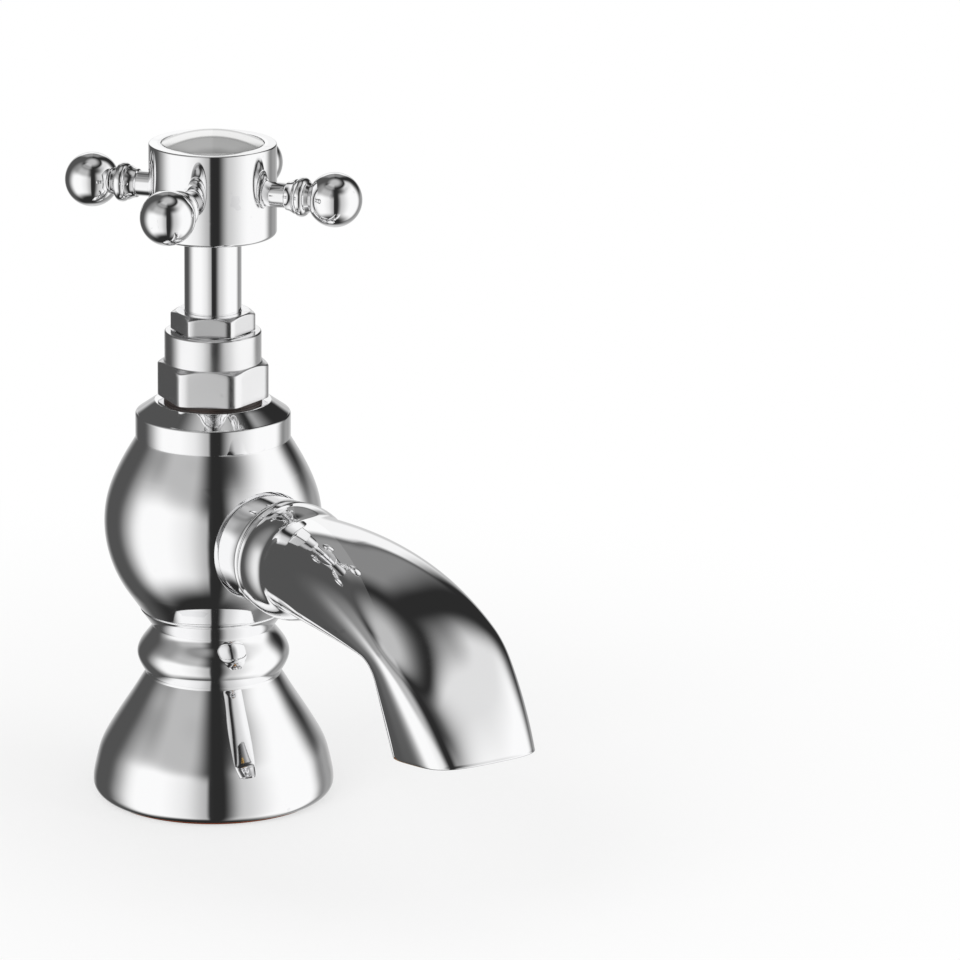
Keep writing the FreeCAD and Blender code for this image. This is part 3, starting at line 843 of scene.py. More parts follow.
@dataclass(frozen=True)
class Finish:
    """A surface finish.

    Attributes:
        name: Name of the material.
        colour: Main colour, linear.
        worn: Colour on edges and in marks, linear.
        metallic: 1 for metal, 0 for the rest.
        roughness: Mean roughness.
        spread: How far the roughness varies.
        grain: Scale of the grain per metre.
        relief: Height of the grain in metres.
        coat: Weight of a clear coat.
        sheen: Weight of a soft sheen.
    """

    name: str
    colour: Colour
    worn: Colour
    metallic: float
    roughness: float
    spread: float
    grain: float
    relief: float
    coat: float = 0.0
    sheen: float = 0.0

    def material(self) -> bpy.types.Material:
        """The material, built on first use.

        Returns:
            A node material: the colour turns to the worn colour on edges and marks, and the
            roughness and bump follow the shared wear group.
        """
        known = bpy.data.materials.get(self.name)
        if known:
            return known
        made, graph = new_material(self.name)
        shader = graph.tree.nodes["Principled BSDF"]
        place = graph.add("TexCoord").outputs["Object"]
        wear = graph.add("Group")
        wear.node_tree = WearGroup().tree()
        spreading = {"Roughness": self.roughness, "Spread": self.spread}
        graph.feed(wear, {"Vector": place, "Grain Scale": self.grain, **spreading})
        mask = graph.maths("MAXIMUM", wear.outputs["Edge"], wear.outputs["Marks"])
        blend = graph.add("Mix")
        blend.data_type = "RGBA"
        clean, worn = (socket for socket in blend.inputs if socket.type == "RGBA")
        clean.default_value, worn.default_value = (*self.colour, 1.0), (*self.worn, 1.0)
        graph.feed(blend, {0: mask})
        colour = next(socket for socket in blend.outputs if socket.type == "RGBA")
        bump = graph.add("Bump")
        height = wear.outputs["Height"]
        graph.feed(bump, {"Strength": 1.0, "Distance": self.relief, "Height": height})
        over = {"Coat Weight": self.coat, "Coat Roughness": 0.04, "Sheen Weight": self.sheen}
        under = {"Base Color": colour, "Metallic": self.metallic}
        surface = {"Roughness": wear.outputs["Roughness"], "Normal": bump.outputs["Normal"]}
        graph.feed(shader, {**under, **surface, **over})
        return made


# Each finish: name, colour, worn colour, metallic, roughness, spread, grain, relief.
BRIGHT, DULLED = (0.96, 0.96, 0.965), (0.86, 0.86, 0.87)
POLISHED = Finish("chrome polished", BRIGHT, DULLED, 1.0, 0.035, 0.03, 900.0, 2.0e-7)
CAST = Finish("chrome on cast body", BRIGHT, DULLED, 1.0, 0.05, 0.04, 500.0, 4.0e-7)
HEX = Finish(
    "chrome on milled flats", (0.93, 0.93, 0.935), DULLED, 1.0, 0.2, 0.07, 2500.0, 1.2e-6
)
BRASS = Finish(
    "machined brass", (0.62, 0.42, 0.16), (0.80, 0.62, 0.33), 1.0, 0.28, 0.14, 1800.0, 3.0e-6
)
RUBBER = Finish(
    "black rubber", (0.025,) * 3, (0.07,) * 3, 0.0, 0.62, 0.16, 3000.0, 8.0e-6, sheen=0.1
)
FIBRE = Finish(
    "red fibre", (0.36, 0.085, 0.045), (0.50, 0.22, 0.15), 0.0, 0.74, 0.12, 2200.0, 1.2e-5
)
# Painted shade: a near-black colour on the fibre washer that stands in for the dark gap under the
# hexagon, not the fibre's own red.
FIBRE_AS_PAINTED_SHADE = Finish(
    "near-black fibre as painted shade", (0.045, 0.032, 0.028), (0.11, 0.07, 0.06), 0.0, 0.45, 0.12, 2200.0, 8.0e-6
)
PACKING = Finish(
    "waxed packing", (0.74, 0.71, 0.62), (0.60, 0.57, 0.48), 0.0, 0.6, 0.12, 2600.0, 1.5e-5
)
STEEL = Finish(
    "plain steel", (0.52, 0.52, 0.53), (0.68, 0.68, 0.69), 1.0, 0.3, 0.1, 2000.0, 2.0e-6
)
GLAZE = Finish(
    "pearl white cap", (0.85, 0.85, 0.845), (0.76, 0.76, 0.75), 0.69, 0.1, 0.04, 160.0, 6.0e-6, 0.3
)


@dataclass
class Assembly:
    """A group of pieces that ride together.

    Attributes:
        body: The body that the pieces ride on.
    """

    body: Body

    def dress(self, thing: Thing, node: str, slot_name: Slot, finish: Finish) -> None:
        """Gives a new piece its finish and lets it stand for its solid.

        Args:
            thing: The piece.
            node: The solid's node.
            slot_name: The record's material slot; not used.
            finish: The finish.
        """
        thing.data.materials.clear()
        thing.data.materials.append(finish.material())
        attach(thing, self.body.value)
        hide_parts(node)
        log.info("%s: %d faces for %s", thing.name, len(thing.data.polygons), node)


# ---------------------------------------------------------------- rings with flats


@dataclass
class Ring:
    """One ring of a piece whose section is round in some rows and flat-sided in others.

    Attributes:
        radius: Radius at each column.
        height: Height at each column.
    """

    radius: np.ndarray
    height: np.ndarray


@dataclass
class FlatSided:
    """A piece turned on Z with flats in some rows, as nuts and square tangs are.

    Attributes:
        flats: Width across flats.
        vertex_angle: Direction of one corner in degrees.
        sides: Number of flats.
        soft: Length taken off each side of a corner.
        roll: Length beside each corner over which a flat curves away.
        roll_arc: Radius of that curve.
    """

    flats: float
    vertex_angle: float
    sides: int = 6
    soft: float = 0.2
    roll: float = 0.0
    roll_arc: float = 7.5

    def section(self) -> tuple[np.ndarray, np.ndarray]:
        """Direction and radius of the flat-sided section at every column.

        Returns:
            Angles and radii of a regular polygon whose corners are rounded.  Over the last
            roll of a flat, each radius loses the share (distance curved)^2 / (2 * roll_arc)
            of the apothem, the drop of an arc.
        """
        apothem, pitch = self.flats / 2, TURN / self.sides
        angle = np.radians(self.vertex_angle + 360 / self.sides * np.arange(self.sides + 1))
        reach = apothem / math.cos(math.pi / self.sides)
        corner = reach * np.stack([np.cos(angle), np.sin(angle)], axis=1)
        x, y = cornered(corner, self.soft, True, step=0.4).T
        direction, radius = np.arctan2(y, x), np.hypot(x, y)
        off_middle = (direction - math.radians(self.vertex_angle)) % pitch - pitch / 2
        half_side = apothem * math.tan(pitch / 2)
        curved = np.maximum(apothem * np.tan(np.abs(off_middle)) - half_side + self.roll, 0)
        return direction, radius * (1 - curved**2 / (2 * self.roll_arc) / apothem)

    def round_rows(self, outline: np.ndarray) -> list[Ring]:
        """Rings of a plain turned stretch, from (radius, height) points."""
        count = len(self.section()[0])
        return [Ring(np.full(count, r), np.full(count, z)) for r, z in outline]

    def flat_rows(
        self, bottom: float, top: float, foot: Optional[float], head: Optional[float]
    ) -> list[Ring]:
        """Rings of a flat-sided stretch, from the bottom up.

        Args:
            bottom: Height of the underside.
            top: Height of the upper side.
            foot: Radius at which the underside's 30 degree chamfer starts, or none.
            head: Radius at which the upper side's 30 degree chamfer ends, or none.

        Returns:
            Rings whose heights follow the scalloped edge: on each column a chamfer meets
            the flat at (radius - chamfer radius) * tan 30 from the end.
        """
        radius = self.section()[1]
        edge, shares = SUPPORT, (0.02, 0.25, 0.5, 0.75, 0.97)

        def drop(start: Optional[float]) -> np.ndarray:
            """Height of a chamfer at each column, 0 where there is none."""
            return 0 * radius if start is None else np.maximum(radius - start, 0) * CHAMFER_SLOPE

        def chamfer(start: float, level: float, meets: np.ndarray) -> list[Ring]:
            """Rings of a chamfer, from its flat end outwards."""
            inner = np.minimum(radius, start)
            return [Ring(inner + u * (radius - inner), level + u * (meets - level)) for u in shares]

        low, high = bottom + drop(foot), top - drop(head)
        if foot is not None:
            rows = chamfer(foot, bottom, low)
        else:
            rows = [Ring(radius - 2 * edge, low), Ring(radius - 0.3 * edge, low + 0.3 * edge)]
        side = np.linspace(0, 1, 9)
        rows += [Ring(radius, low + 1.2 * edge + u * (high - low - 2.4 * edge)) for u in side]
        if head is not None:
            return rows + chamfer(head, top, high)[::-1]
        return rows + [Ring(radius - 0.3 * edge, high - 0.3 * edge), Ring(radius - 2 * edge, high)]

    def build(self, name: str, rows: Sequence[Ring], wrap_rows: bool = True) -> Thing:
        """The piece from its rings.

        Args:
            name: Name of the piece.
            rows: Rings in order.
            wrap_rows: True if the last ring joins the first.

        Returns:
            The object: x = radius * cos(angle), y = radius * sin(angle).
        """
        angle = self.section()[0]
        points = [polar_points(ring.radius, angle, ring.height) for ring in rows]
        return tube(name, np.stack(points), wrap_rows)


# ---------------------------------------------------------------- foot and body


@dataclass
class Foot(Assembly):
    """The flared foot and the soft ring under it.

    Attributes:
        radius: Radius of the foot's widest edge.
        edge_height: Height of that edge.
        under: Distance of the flat underside's rim inside that edge.
        flare: Shares of the way from the edge to the waist, out and up, that the flare takes.
        waist: (radius, height) of the waist under the bulge.
        rise: The same shares from the waist to the bulge.
        bulge: (radius, height) of the rolled bulge.
        roll: The same shares from the bulge to the neck.
        neck: (radius, height) of the neck above it.
        seam: (radius, height) of the joint with the ball body.
        bore: Radius of the hole for the tail's shank.
        ledge: (radius, height) of the shoulder that the tail bears on.
        vault: Shares of the way from the ledge to the hollow that the hollow's roof takes.
        hollow: (radius, height) of the hollow's outer corner.
        lip: Width and height of the lip round the soft ring's recess.
        recess: Radius of the soft ring's recess.
        recess_depth: Depth of that recess.
        ring_hole: Radius of the soft ring's hole.
    """

    radius: float = 27.0
    edge_height: float = 2.7
    under: float = 2.3
    flare: Pairs = ((0.05, 0.155), (0.143, 0.319), (0.294, 0.462), (0.513, 0.633), (0.756, 0.813))
    waist: Pair = (15.1, 27.8)
    rise: Pairs = ((0.684, 0.477),)
    bulge: Pair = (17.0, 32.7)
    roll: Pairs = ((0.235, 0.367), (0.647, 0.683))
    neck: Pair = (13.6, 39.0)
    seam: Pair = (16.3, 43.0)
    bore: float = 10.5
    ledge: Pair = (13.82, 23.0)
    vault: Pairs = ((0.477, 0.305), (0.826, 0.671))
    hollow: Pair = (23.0, 6.6)
    lip: Pair = (2.8, 1.6)
    recess: float = 22.4
    recess_depth: float = 2.0
    ring_hole: float = 15.5

    def pedestal(self) -> Thing:
        """The foot, waist, bulge and neck as one turned surface.

        Returns:
            The object: its closed outline (r, h) turned, x = r cos a, y = r sin a, z = h.
        """
        edge, under = (self.radius, self.edge_height), (self.radius - self.under, 0.0)
        waist_end = (self.waist[0], self.waist[1] + 0.5)
        neck_start = (self.neck[0], self.neck[1] - 0.3)
        flare = between(edge, self.waist, *self.flare)
        rise = between(waist_end, self.bulge, *self.rise)
        roll = between(self.bulge, neck_start, *self.roll)
        swell = [waist_end, *rise, self.bulge, *roll, neck_start]
        seam_side = (self.seam[0], self.seam[1] - SEAM_STEP)
        seam_edge = (self.seam[0] - SEAM_CUT, self.seam[1])
        vault = between(self.ledge, self.hollow, *self.vault)
        inner, lip_top = self.recess - self.lip[0], self.recess_depth + self.lip[1]
        runs = [
            bow(under, between(under, edge, (0.74, 0.33))[0], edge, 18),
            flowing([edge, *flare, self.waist], (0, 1), (-0.55, 0.83)),
            straight(self.waist, waist_end),
            flowing(swell, (0.6, 0.8), (-0.3, 0.95), 0.35),
            straight(neck_start, self.neck),
            straight(self.neck, seam_side, 1.0),
            *polyline([seam_side, seam_edge, (self.bore, self.seam[1])]),
            *polyline([(self.bore, self.seam[1]), (self.bore, self.ledge[1]), self.ledge]),
            flowing([self.ledge, *vault, self.hollow], step=1.5),
            *polyline([self.hollow, (self.hollow[0], lip_top), (inner, lip_top)]),
            *polyline([(inner, lip_top), (inner, self.recess_depth)]),
            *polyline([(inner, self.recess_depth), (self.recess, self.recess_depth)]),
            *polyline([(self.recess, self.recess_depth), (self.recess, 0.0), under]),
        ]
        return turned("pedestal_shell", joined(runs, closed=True))

    def soft_ring(self) -> Thing:
        """The ring between the foot and the deck."""
        corners = boxed(self.recess - 0.1, self.ring_hole, 0.0, self.recess_depth)
        return turned("base_ring", cornered(corners, 0.25, True))

    def build(self) -> None:
        """Builds and dresses both pieces."""
        self.dress(self.pedestal(), "pedestal", Slot.CHROME, CAST)
        self.dress(self.soft_ring(), "base_seal", Slot.RUBBER, RUBBER)


@dataclass
class BallBody(Assembly):
    """The ball with its cone, band and crown, its valve chamber and the spout's port.

    Attributes:
        seam: (radius, height) of the joint with the foot.
        cone: (radius, height) where the cone ends and the ball starts.
        swell: Shares of the way from there to the widest place, out and up, on the ball.
        ball: (radius, height) of the widest place.
        close: The same shares from the widest place to the band.
        band: (radius, height) of the band's lower edge.
        band_height: Height of the band.
        crown: (radius, height) of the top.
        axis: Height of the spout's axis.
        port: Radius of the spout's port.
        spot_face: Distance of the port's spot face from the spindle's axis.
        spot_radius: Radius of the spot face.
        port_end: Distance of the port's inner end from the spindle's axis.
        chamber: Radius of the valve chamber.
        floor_step: How far the chamber's floor lies inside and below the widest place.
        ceiling_step: How far its ceiling's edge lies inside and above the widest place.
        seat: Radius of the valve seat's hole.
        tower: Radius of the pillar that carries the seat.
        shelf: Height of the stop for the tail's shank.
    """

    seam: Pair = (16.3, 43.0)
    cone: Pair = (19.1, 47.1)
    swell: Pairs = ((0.5, 0.277), (0.843, 0.591))
    ball: Pair = (24.2, 63.0)
    close: Pairs = ((0.103, 0.308), (0.359, 0.569), (0.738, 0.836))
    band: Pair = (17.2, 82.6)
    band_height: float = 5.3
    crown: Pair = (12.9, 90.9)
    axis: float = 62.3
    port: float = 9.55
    spot_face: float = 20.6
    spot_radius: float = 12.3
    port_end: float = 18.95
    chamber: float = 21.0
    floor_step: Pair = (3.4, 10.5)
    ceiling_step: Pair = (7.4, 15.5)
    seat: float = 6.0
    tower: float = 9.2
    shelf: float = 50.5

    def outside(self) -> list[np.ndarray]:
        """The outer wall, from the joint up to the crown's inner edge.

        Returns:
            Runs of (radius, height) points.
        """
        seam_edge = (self.seam[0] - SEAM_CUT, self.seam[1])
        seam_side = (self.seam[0], self.seam[1] + SEAM_STEP)
        band_foot = (self.band[0] - 0.25, self.band[1] - 0.1)
        band_top = self.band[1] + self.band_height
        swell = between(self.cone, self.ball, *self.swell)
        close = between(self.ball, band_foot, *self.close)
        band_edge = (self.band[0], band_top - 0.3)
        band_shoulder = (self.band[0] - 0.4, band_top + 0.25)
        return [
            straight(seam_edge, seam_side),
            straight(seam_side, self.cone, 1.0),
            flowing([self.cone, *swell, self.ball, *close, band_foot], (0.58, 0.82), (-0.5, 0.87)),
            straight(band_foot, self.band),
            straight(self.band, band_edge, 1.0),
            bow(band_edge, (self.band[0] - 0.1, band_top), band_shoulder, 7),
            straight(band_shoulder, self.crown, 1.0),
        ]

    def inside(self) -> list[np.ndarray]:
        """The inner wall, from the crown's inner edge down to the joint.

        Returns:
            Runs of (radius, height) points.
        """
        neck_bore, socket, lower_bore, seat_lip = 10.53, 10.45, 8.0, 1.3
        seat, tower, shelf, rim = self.seat, self.tower, self.shelf, self.ball[1] - 2.0
        middle = (self.chamber, self.ball[1])
        floor = (self.chamber - self.floor_step[0], self.ball[1] - self.floor_step[1])
        ceiling = (self.chamber - self.ceiling_step[0], self.ball[1] + self.ceiling_step[1])
        upper = between(ceiling, middle, (1 - 0.459, 1 - 0.742), (1 - 0.122, 1 - 0.387))
        lower = between(floor, middle, (0.765, 0.476))
        return [
            *polyline([self.crown, (neck_bore, self.crown[1]), (neck_bore, ceiling[1]), ceiling]),
            flowing([ceiling, *upper, middle, *lower, floor], step=0.8),
            *polyline(
                [floor, (tower, floor[1]), (tower, rim - 1.5), (seat + seat_lip, rim)]
                + [(seat, rim), (seat, rim - 3), (lower_bore, rim - 5), (lower_bore, shelf)]
                + [(socket, shelf), (socket, self.seam[1]), (self.seam[0] - SEAM_CUT, self.seam[1])]
            ),
        ]

    def build(self) -> None:
        """Builds and dresses the ball body."""
        outline = joined([*self.outside(), *self.inside()], closed=True)
        rows, half = 30, 20
        reach = self.spot_radius + 1.4
        low, high = self.axis - reach, self.axis + reach
        outline, outer = rows_between(outline, low, high, False, rows)
        low, high = self.ball[1] - self.floor_step[1] + 0.13, self.axis + 11.2
        outline, lining = rows_between(outline, low, high, True, rows)
        mouth = Opening(self.spot_radius, self.axis, -90.0, outer, outer + rows, half)
        inner = Opening(self.port, self.axis, -90.0, lining, lining + rows, half)
        face, spot, port = self.spot_face, self.spot_radius, self.port
        steps = [(spot, face + 0.05), (spot - 0.05, face), (port + 0.07, face)]
        steps += [(port, face - 0.07), (port, face - 0.6), (port, self.port_end)]
        shell = PortedShell(outline, [Port(mouth, steps, inner)])
        self.dress(shell.build("ball_shell"), "ball_body", Slot.CHROME, CAST)


# ---------------------------------------------------------------- spout


@dataclass
class Spout(Assembly):
    """The collar, and the spout with its spigot and rolled shoulder.

    Attributes:
        axis: Height of the port's axis.
        face: Distance of the collar's root from the spindle's axis.
        root: Distance of the spout's root from the spindle's axis.
        root_half: Half height and half width of the tube at its root.
        top_corner: Corner of the top line's conic, as reach beyond the root and rise over the axis.
        top_end: End of the top line.
        top_weight: Weight of that end in the conic.
        under_corner: Corner of the underside before its bend is rounded.
        under_end: End of the underside.
        bend: Radius of the underside's bend.
        middle_half_width: Half width of the middle section.
        end_half_width: Half width of the outlet.
        squareness: How much the section's power grows from 2 along the spout.
        wall: Wall thickness.
        shoulder: Largest radius of the rolled shoulder.
        columns: Number of points round a section.
    """

    axis: float = 62.3
    face: float = 20.6
    root: float = 30.3
    root_half: float = 10.3
    top_corner: Pair = (58.2, 19.3)
    top_end: Pair = (83.2, -23.0)
    top_weight: float = 1.2
    under_corner: Pair = (54.6, -6.1)
    under_end: Pair = (58.9, -26.3)
    bend: float = 5.0
    middle_half_width: float = 15.5
    end_half_width: float = 13.4
    squareness: float = 1.6
    wall: float = 2.2
    shoulder: float = 12.95
    columns: int = 176

    def top_line(self, share: np.ndarray) -> np.ndarray:
        """Points of the top line at shares of its length.

        Args:
            share: Shares from 0 to 1.

        Returns:
            (reach, rise) of the conic (sum of w B p) / (sum of w B), w the weights 1, 1 and
            top_weight and B the quadratic Bernstein terms, at even length.
        """
        t = np.linspace(0, 1, 900)[:, None]
        terms = np.concatenate([(1 - t) ** 2, 2 * t * (1 - t), t**2 * self.top_weight], axis=1)
        poles = np.array([(0, self.root_half), self.top_corner, self.top_end], float)
        line = terms @ poles / terms.sum(axis=1, keepdims=True)
        return self.even(line, share)

    def under_line(self, share: np.ndarray) -> np.ndarray:
        """Points of the underside at shares of its length.

        Args:
            share: Shares from 0 to 1.

        Returns:
            (reach, rise) at even length: straight, round an arc of the bend's radius that
            touches both straight lines, and straight again.
        """
        start, corner, end = (
            np.array(p, float) for p in ((0, -self.root_half), self.under_corner, self.under_end)
        )
        back, down = (start - corner), (end - corner)
        back, down = back / np.linalg.norm(back), down / np.linalg.norm(down)
        half = math.acos(float(back @ down)) / 2
        first = corner + back * self.bend / math.tan(half)
        last = corner + down * self.bend / math.tan(half)
        mean = (back + down) / np.linalg.norm(back + down)
        inner = corner + mean * (self.bend / math.sin(half) - self.bend)
        line = np.concatenate([[start], bow(first, inner, last, 60), [end]])
        return self.even(line, share)

    @staticmethod
    def even(line: np.ndarray, share: np.ndarray) -> np.ndarray:
        """Points of a polyline at shares of its length."""
        s = along(line)
        return np.stack([np.interp(share * s[-1], s, line[:, k]) for k in (0, 1)], axis=1)

    def sections(self, share: np.ndarray, inset: np.ndarray, push: np.ndarray) -> np.ndarray:
        """Sections of the tube.

        Args:
            share: Share along the tube of each section.
            inset: How far each section is drawn in from the outside.
            push: How far each section is moved out of its plane towards the outlet.

        Returns:
            Shape (sections, columns, 3).  A section is the superellipse
            |x / half width|^n + |u / half height|^n = 1 with n = 2 + squareness * share,
            u up the line from the underside to the top.
        """
        top, under = self.top_line(share), self.under_line(share)
        centre, half = (top + under) / 2, (top - under) / 2
        full = np.linalg.norm(half, axis=1)
        up = half / full[:, None]
        ahead = np.stack([up[:, 1], -up[:, 0]], axis=1)
        half_width = (
            self.root_half * (1 - share) * (1 - 2 * share)
            + 4 * self.middle_half_width * share * (1 - share)
            + self.end_half_width * share * (2 * share - 1)
        )
        angle = around(self.columns)
        power = (2 + self.squareness * share)[:, None]
        sine, cosine = np.sin(angle)[None], np.cos(angle)[None]
        reach = (np.abs(sine) ** power + np.abs(cosine) ** power) ** (-1 / power)
        across = (half_width - inset)[:, None] * sine * reach
        rise = (full - inset)[:, None] * cosine * reach
        place = (centre + push[:, None] * ahead)[:, None, :] + rise[..., None] * up[:, None, :]
        return np.stack([across, -(self.root + place[..., 0]), self.axis + place[..., 1]], axis=-1)

    def rings(self, outline: Sequence[Point]) -> np.ndarray:
        """Round rings on the port's axis.

        Args:
            outline: (radius, distance from the spindle's axis) points.

        Returns:
            Shape (points, columns, 3): x = r sin a, y = -distance, z = axis + r cos a.
        """
        radius, distance = np.asarray(outline, float).T[:, :, None]
        grid = polar_points(radius, around(self.columns), distance)
        return np.stack([grid[..., 1], -grid[..., 2], self.axis + grid[..., 0]], axis=-1)

    def shouldered(self, skin: np.ndarray) -> np.ndarray:
        """The tube's skin with the rolled shoulder raised on it near the root.

        Args:
            skin: Sections of the tube.

        Returns:
            The sections with the distance from the port's axis made the smooth maximum
            (a + b + sqrt((a - b)^2 + k^2)) / 2 of the tube's a and the shoulder's b.
        """
        root, peak = self.root, self.shoulder
        front, top = (peak - 0.3, root + 1.0), (peak, root + 3.7)
        lip = bow((peak - 1.2, root), (peak - 0.55, root + 0.3), front, 12)
        roll = flowing([front, top, (peak - 0.9, root + 8.9), (9.2, root + 14.2)])
        outline = np.concatenate([lip, roll[1:], [(6.0, root + 20), (0.0, root + 30)]])
        ahead = -skin[..., 1]
        up = skin[..., 2] - self.axis
        distance = np.hypot(skin[..., 0], up)
        raised = np.interp(ahead, outline[:, 1], outline[:, 0], right=0.0)
        blend = 0.45
        wanted = (distance + raised + np.sqrt((distance - raised) ** 2 + blend**2)) / 2
        wanted = np.where(raised > 0, wanted, distance)
        factor = wanted / distance
        return np.stack([skin[..., 0] * factor, skin[..., 1], self.axis + up * factor], axis=-1)

    def tube(self) -> Thing:
        """The spout's spigot, shoulder, tube, outlet and waterway.

        Returns:
            The object: rings of the spigot, then the skin's sections, the rolled lip and the
            waterway's sections back to the root, as one closed grid.
        """
        spigot, groove, bore, start, root = 9.5, 8.31, 7.6, self.face - 3.6, self.root
        low, high, last = start + 1.2, start + 2.8, 0.9955
        behind = cornered(
            [(bore, root - 0.2), (bore, start), (spigot, start), (spigot, low), (groove, low)]
            + [(groove, high), (spigot, high), (spigot, root), (self.shoulder - 1.3, root)]
        )
        # The skin's sections lie closer together near the rolled shoulder.
        near = 0.16 * np.linspace(0, 1, 64) ** 1.6
        share = np.concatenate([near, np.linspace(near[-1], last, 150)[1:]])
        zero = np.zeros_like(share)
        outside = self.shouldered(self.sections(share, zero, zero))
        # How far in, and how far ahead, each ring of the rounded lip lies.
        inset = np.array([0.02, 0.1, 0.22, 0.42, 0.8, 1.4, 1.8, 1.98, 2.1, 2.18])
        push = np.array([-0.24, -0.1, -0.03, 0, 0, 0, 0, -0.03, -0.1, -0.24])
        lip = self.sections(np.ones_like(inset), inset, push)
        back = np.concatenate([np.linspace(last, 0.02, 90), [0.008, 0.0]])
        inside = self.sections(back, np.full_like(back, self.wall), np.zeros_like(back))
        return tube("spout_tube", np.concatenate([self.rings(behind), outside, lip, inside]), True)

    def collar(self) -> Thing:
        """The turned ring between the ball and the spout.

        Returns:
            The object: its closed outline turned about the port's axis.
        """
        face, end, tip, hole = self.face, self.root - 0.2, 12.4, 9.55
        undercut, groove_end, body = (11.0, face), (11.0, face + 0.5), (11.85, face + 1.5)
        rim, back = (tip, end - 0.9), (tip - 0.7, end)
        runs = [
            *polyline([(hole, face), undercut, groove_end]),
            bow(groove_end, (11.65, face + 0.8), body, 9),
            straight(body, rim, 1.0),
            bow(rim, (tip - 0.2, end - 0.25), back, 9),
            *polyline([back, (hole, end), (hole, face)]),
        ]
        return tube("spout_collar_ring", self.rings(joined(runs, soft=0.08, closed=True)), True)

    def build(self) -> None:
        """Builds and dresses the collar and the spout."""
        self.dress(self.collar(), "spout_collar", Slot.CHROME, POLISHED)
        self.dress(self.tube(), "spout", Slot.CHROME, CAST)


# ---------------------------------------------------------------- headwork


@dataclass
class Headwork(Assembly):
    """The headwork's hexagon and barrel and the gland nut on it.

    Attributes:
        bottom: Height of the hexagon's underside.
        hexagon_height: Height of the hexagon.
        flats: Width across its flats.
        vertex_angle: Direction of one of its corners.
        thread_radius: Radius of the thread in the ball body.
        thread_bottom: Height of that thread's lower end.
        barrel: Radius of the barrel above the hexagon.
        top: Height of the barrel's top.
        gland_flats: Width across the gland nut's flats.
        gland_vertex_angle: Direction of one of its corners.
        gland_bottom: Height of its underside.
        gland_top: Height of its top.
        spindle: Radius of the bores that the spindle runs in.
        washer_height: Height of the washer under the hexagon.
    """

    bottom: float = 91.7
    hexagon_height: float = 8.2
    flats: float = 22.0
    vertex_angle: float = 22.4
    thread_radius: float = 10.48
    thread_bottom: float = 74.0
    barrel: float = 10.7
    top: float = 106.7
    gland_flats: float = 16.5
    gland_vertex_angle: float = 24.3
    gland_bottom: float = 106.9
    gland_top: float = 111.2
    spindle: float = 6.35
    washer_height: float = 0.8

    def shell(self) -> Thing:
        """Thread, hexagon, barrel and stuffing box in one closed surface.

        Returns:
            The object: round rings, the hexagon's flat-sided rings, and round rings again.
        """
        shape = FlatSided(self.flats, self.vertex_angle, roll=2.2)
        head = self.flats / 2 * CHAMFER_SHARE
        shoulder = self.bottom + self.hexagon_height
        bore, box, web, floor, thread = 8.0, 8.2, 95.3, self.top - 6.2, self.thread_radius
        below = cornered(
            [(bore, web), (bore, self.thread_bottom), (thread, self.thread_bottom)]
            + [(thread, self.bottom), (head, self.bottom)]
        )
        above = cornered(
            [(self.barrel, shoulder + 0.02), (self.barrel, self.top - 0.3)]
            + [(self.barrel - 0.3, self.top), (box, self.top), (box, floor)]
            + [(self.spindle, floor), (self.spindle, web), (bore - 0.1, web)],
            soft=0.08,
            step=1.5,
        )
        rows = shape.round_rows(below) + shape.flat_rows(self.bottom, shoulder, None, head)
        return shape.build("headwork_shell", rows + shape.round_rows(above))

    def gland(self) -> Thing:
        """The gland nut with its spigot.

        Returns:
            The object: the spigot's round rings, the hexagon's rings and the bore's rings.
        """
        shape = FlatSided(self.gland_flats, self.gland_vertex_angle, soft=0.15, roll=1.4)
        head = self.gland_flats / 2 * CHAMFER_SHARE
        spigot, bottom, top = 7.95, self.gland_bottom, self.gland_top
        below = cornered(
            [(self.spindle, top - 0.5), (self.spindle, bottom - 2.4), (spigot, bottom - 2.4)]
            + [(spigot, bottom), (spigot + 0.1, bottom)],
            soft=0.05,
            step=1.5,
        )
        above = cornered([(head - 0.1, top), (self.spindle, top), (self.spindle, top - 0.4)])
        rows = shape.round_rows(below) + shape.flat_rows(bottom, top, None, head)
        return shape.build("gland_shell", rows + shape.round_rows(above))

    def washer(self) -> Thing:
        """The fibre washer under the hexagon, just inside its flats.

        Returns:
            The object: a turned rectangle.
        """
        radii = (self.flats / 2 - 0.15, self.thread_radius + 0.05)
        corners = boxed(*radii, self.bottom - self.washer_height, self.bottom)
        return turned("headwork_washer_ring", cornered(corners, 0.1, True))

    def build(self) -> None:
        """Builds and dresses the three pieces."""
        # The washer's near-black finish is painted shade for the gap under the hexagon.
        self.dress(self.washer(), "headwork_washer", Slot.FIBRE, FIBRE_AS_PAINTED_SHADE)
        self.dress(self.shell(), "headwork_body", Slot.CHROME, HEX)
        self.dress(self.gland(), "gland_nut", Slot.CHROME, HEX)


# ---------------------------------------------------------------- handle


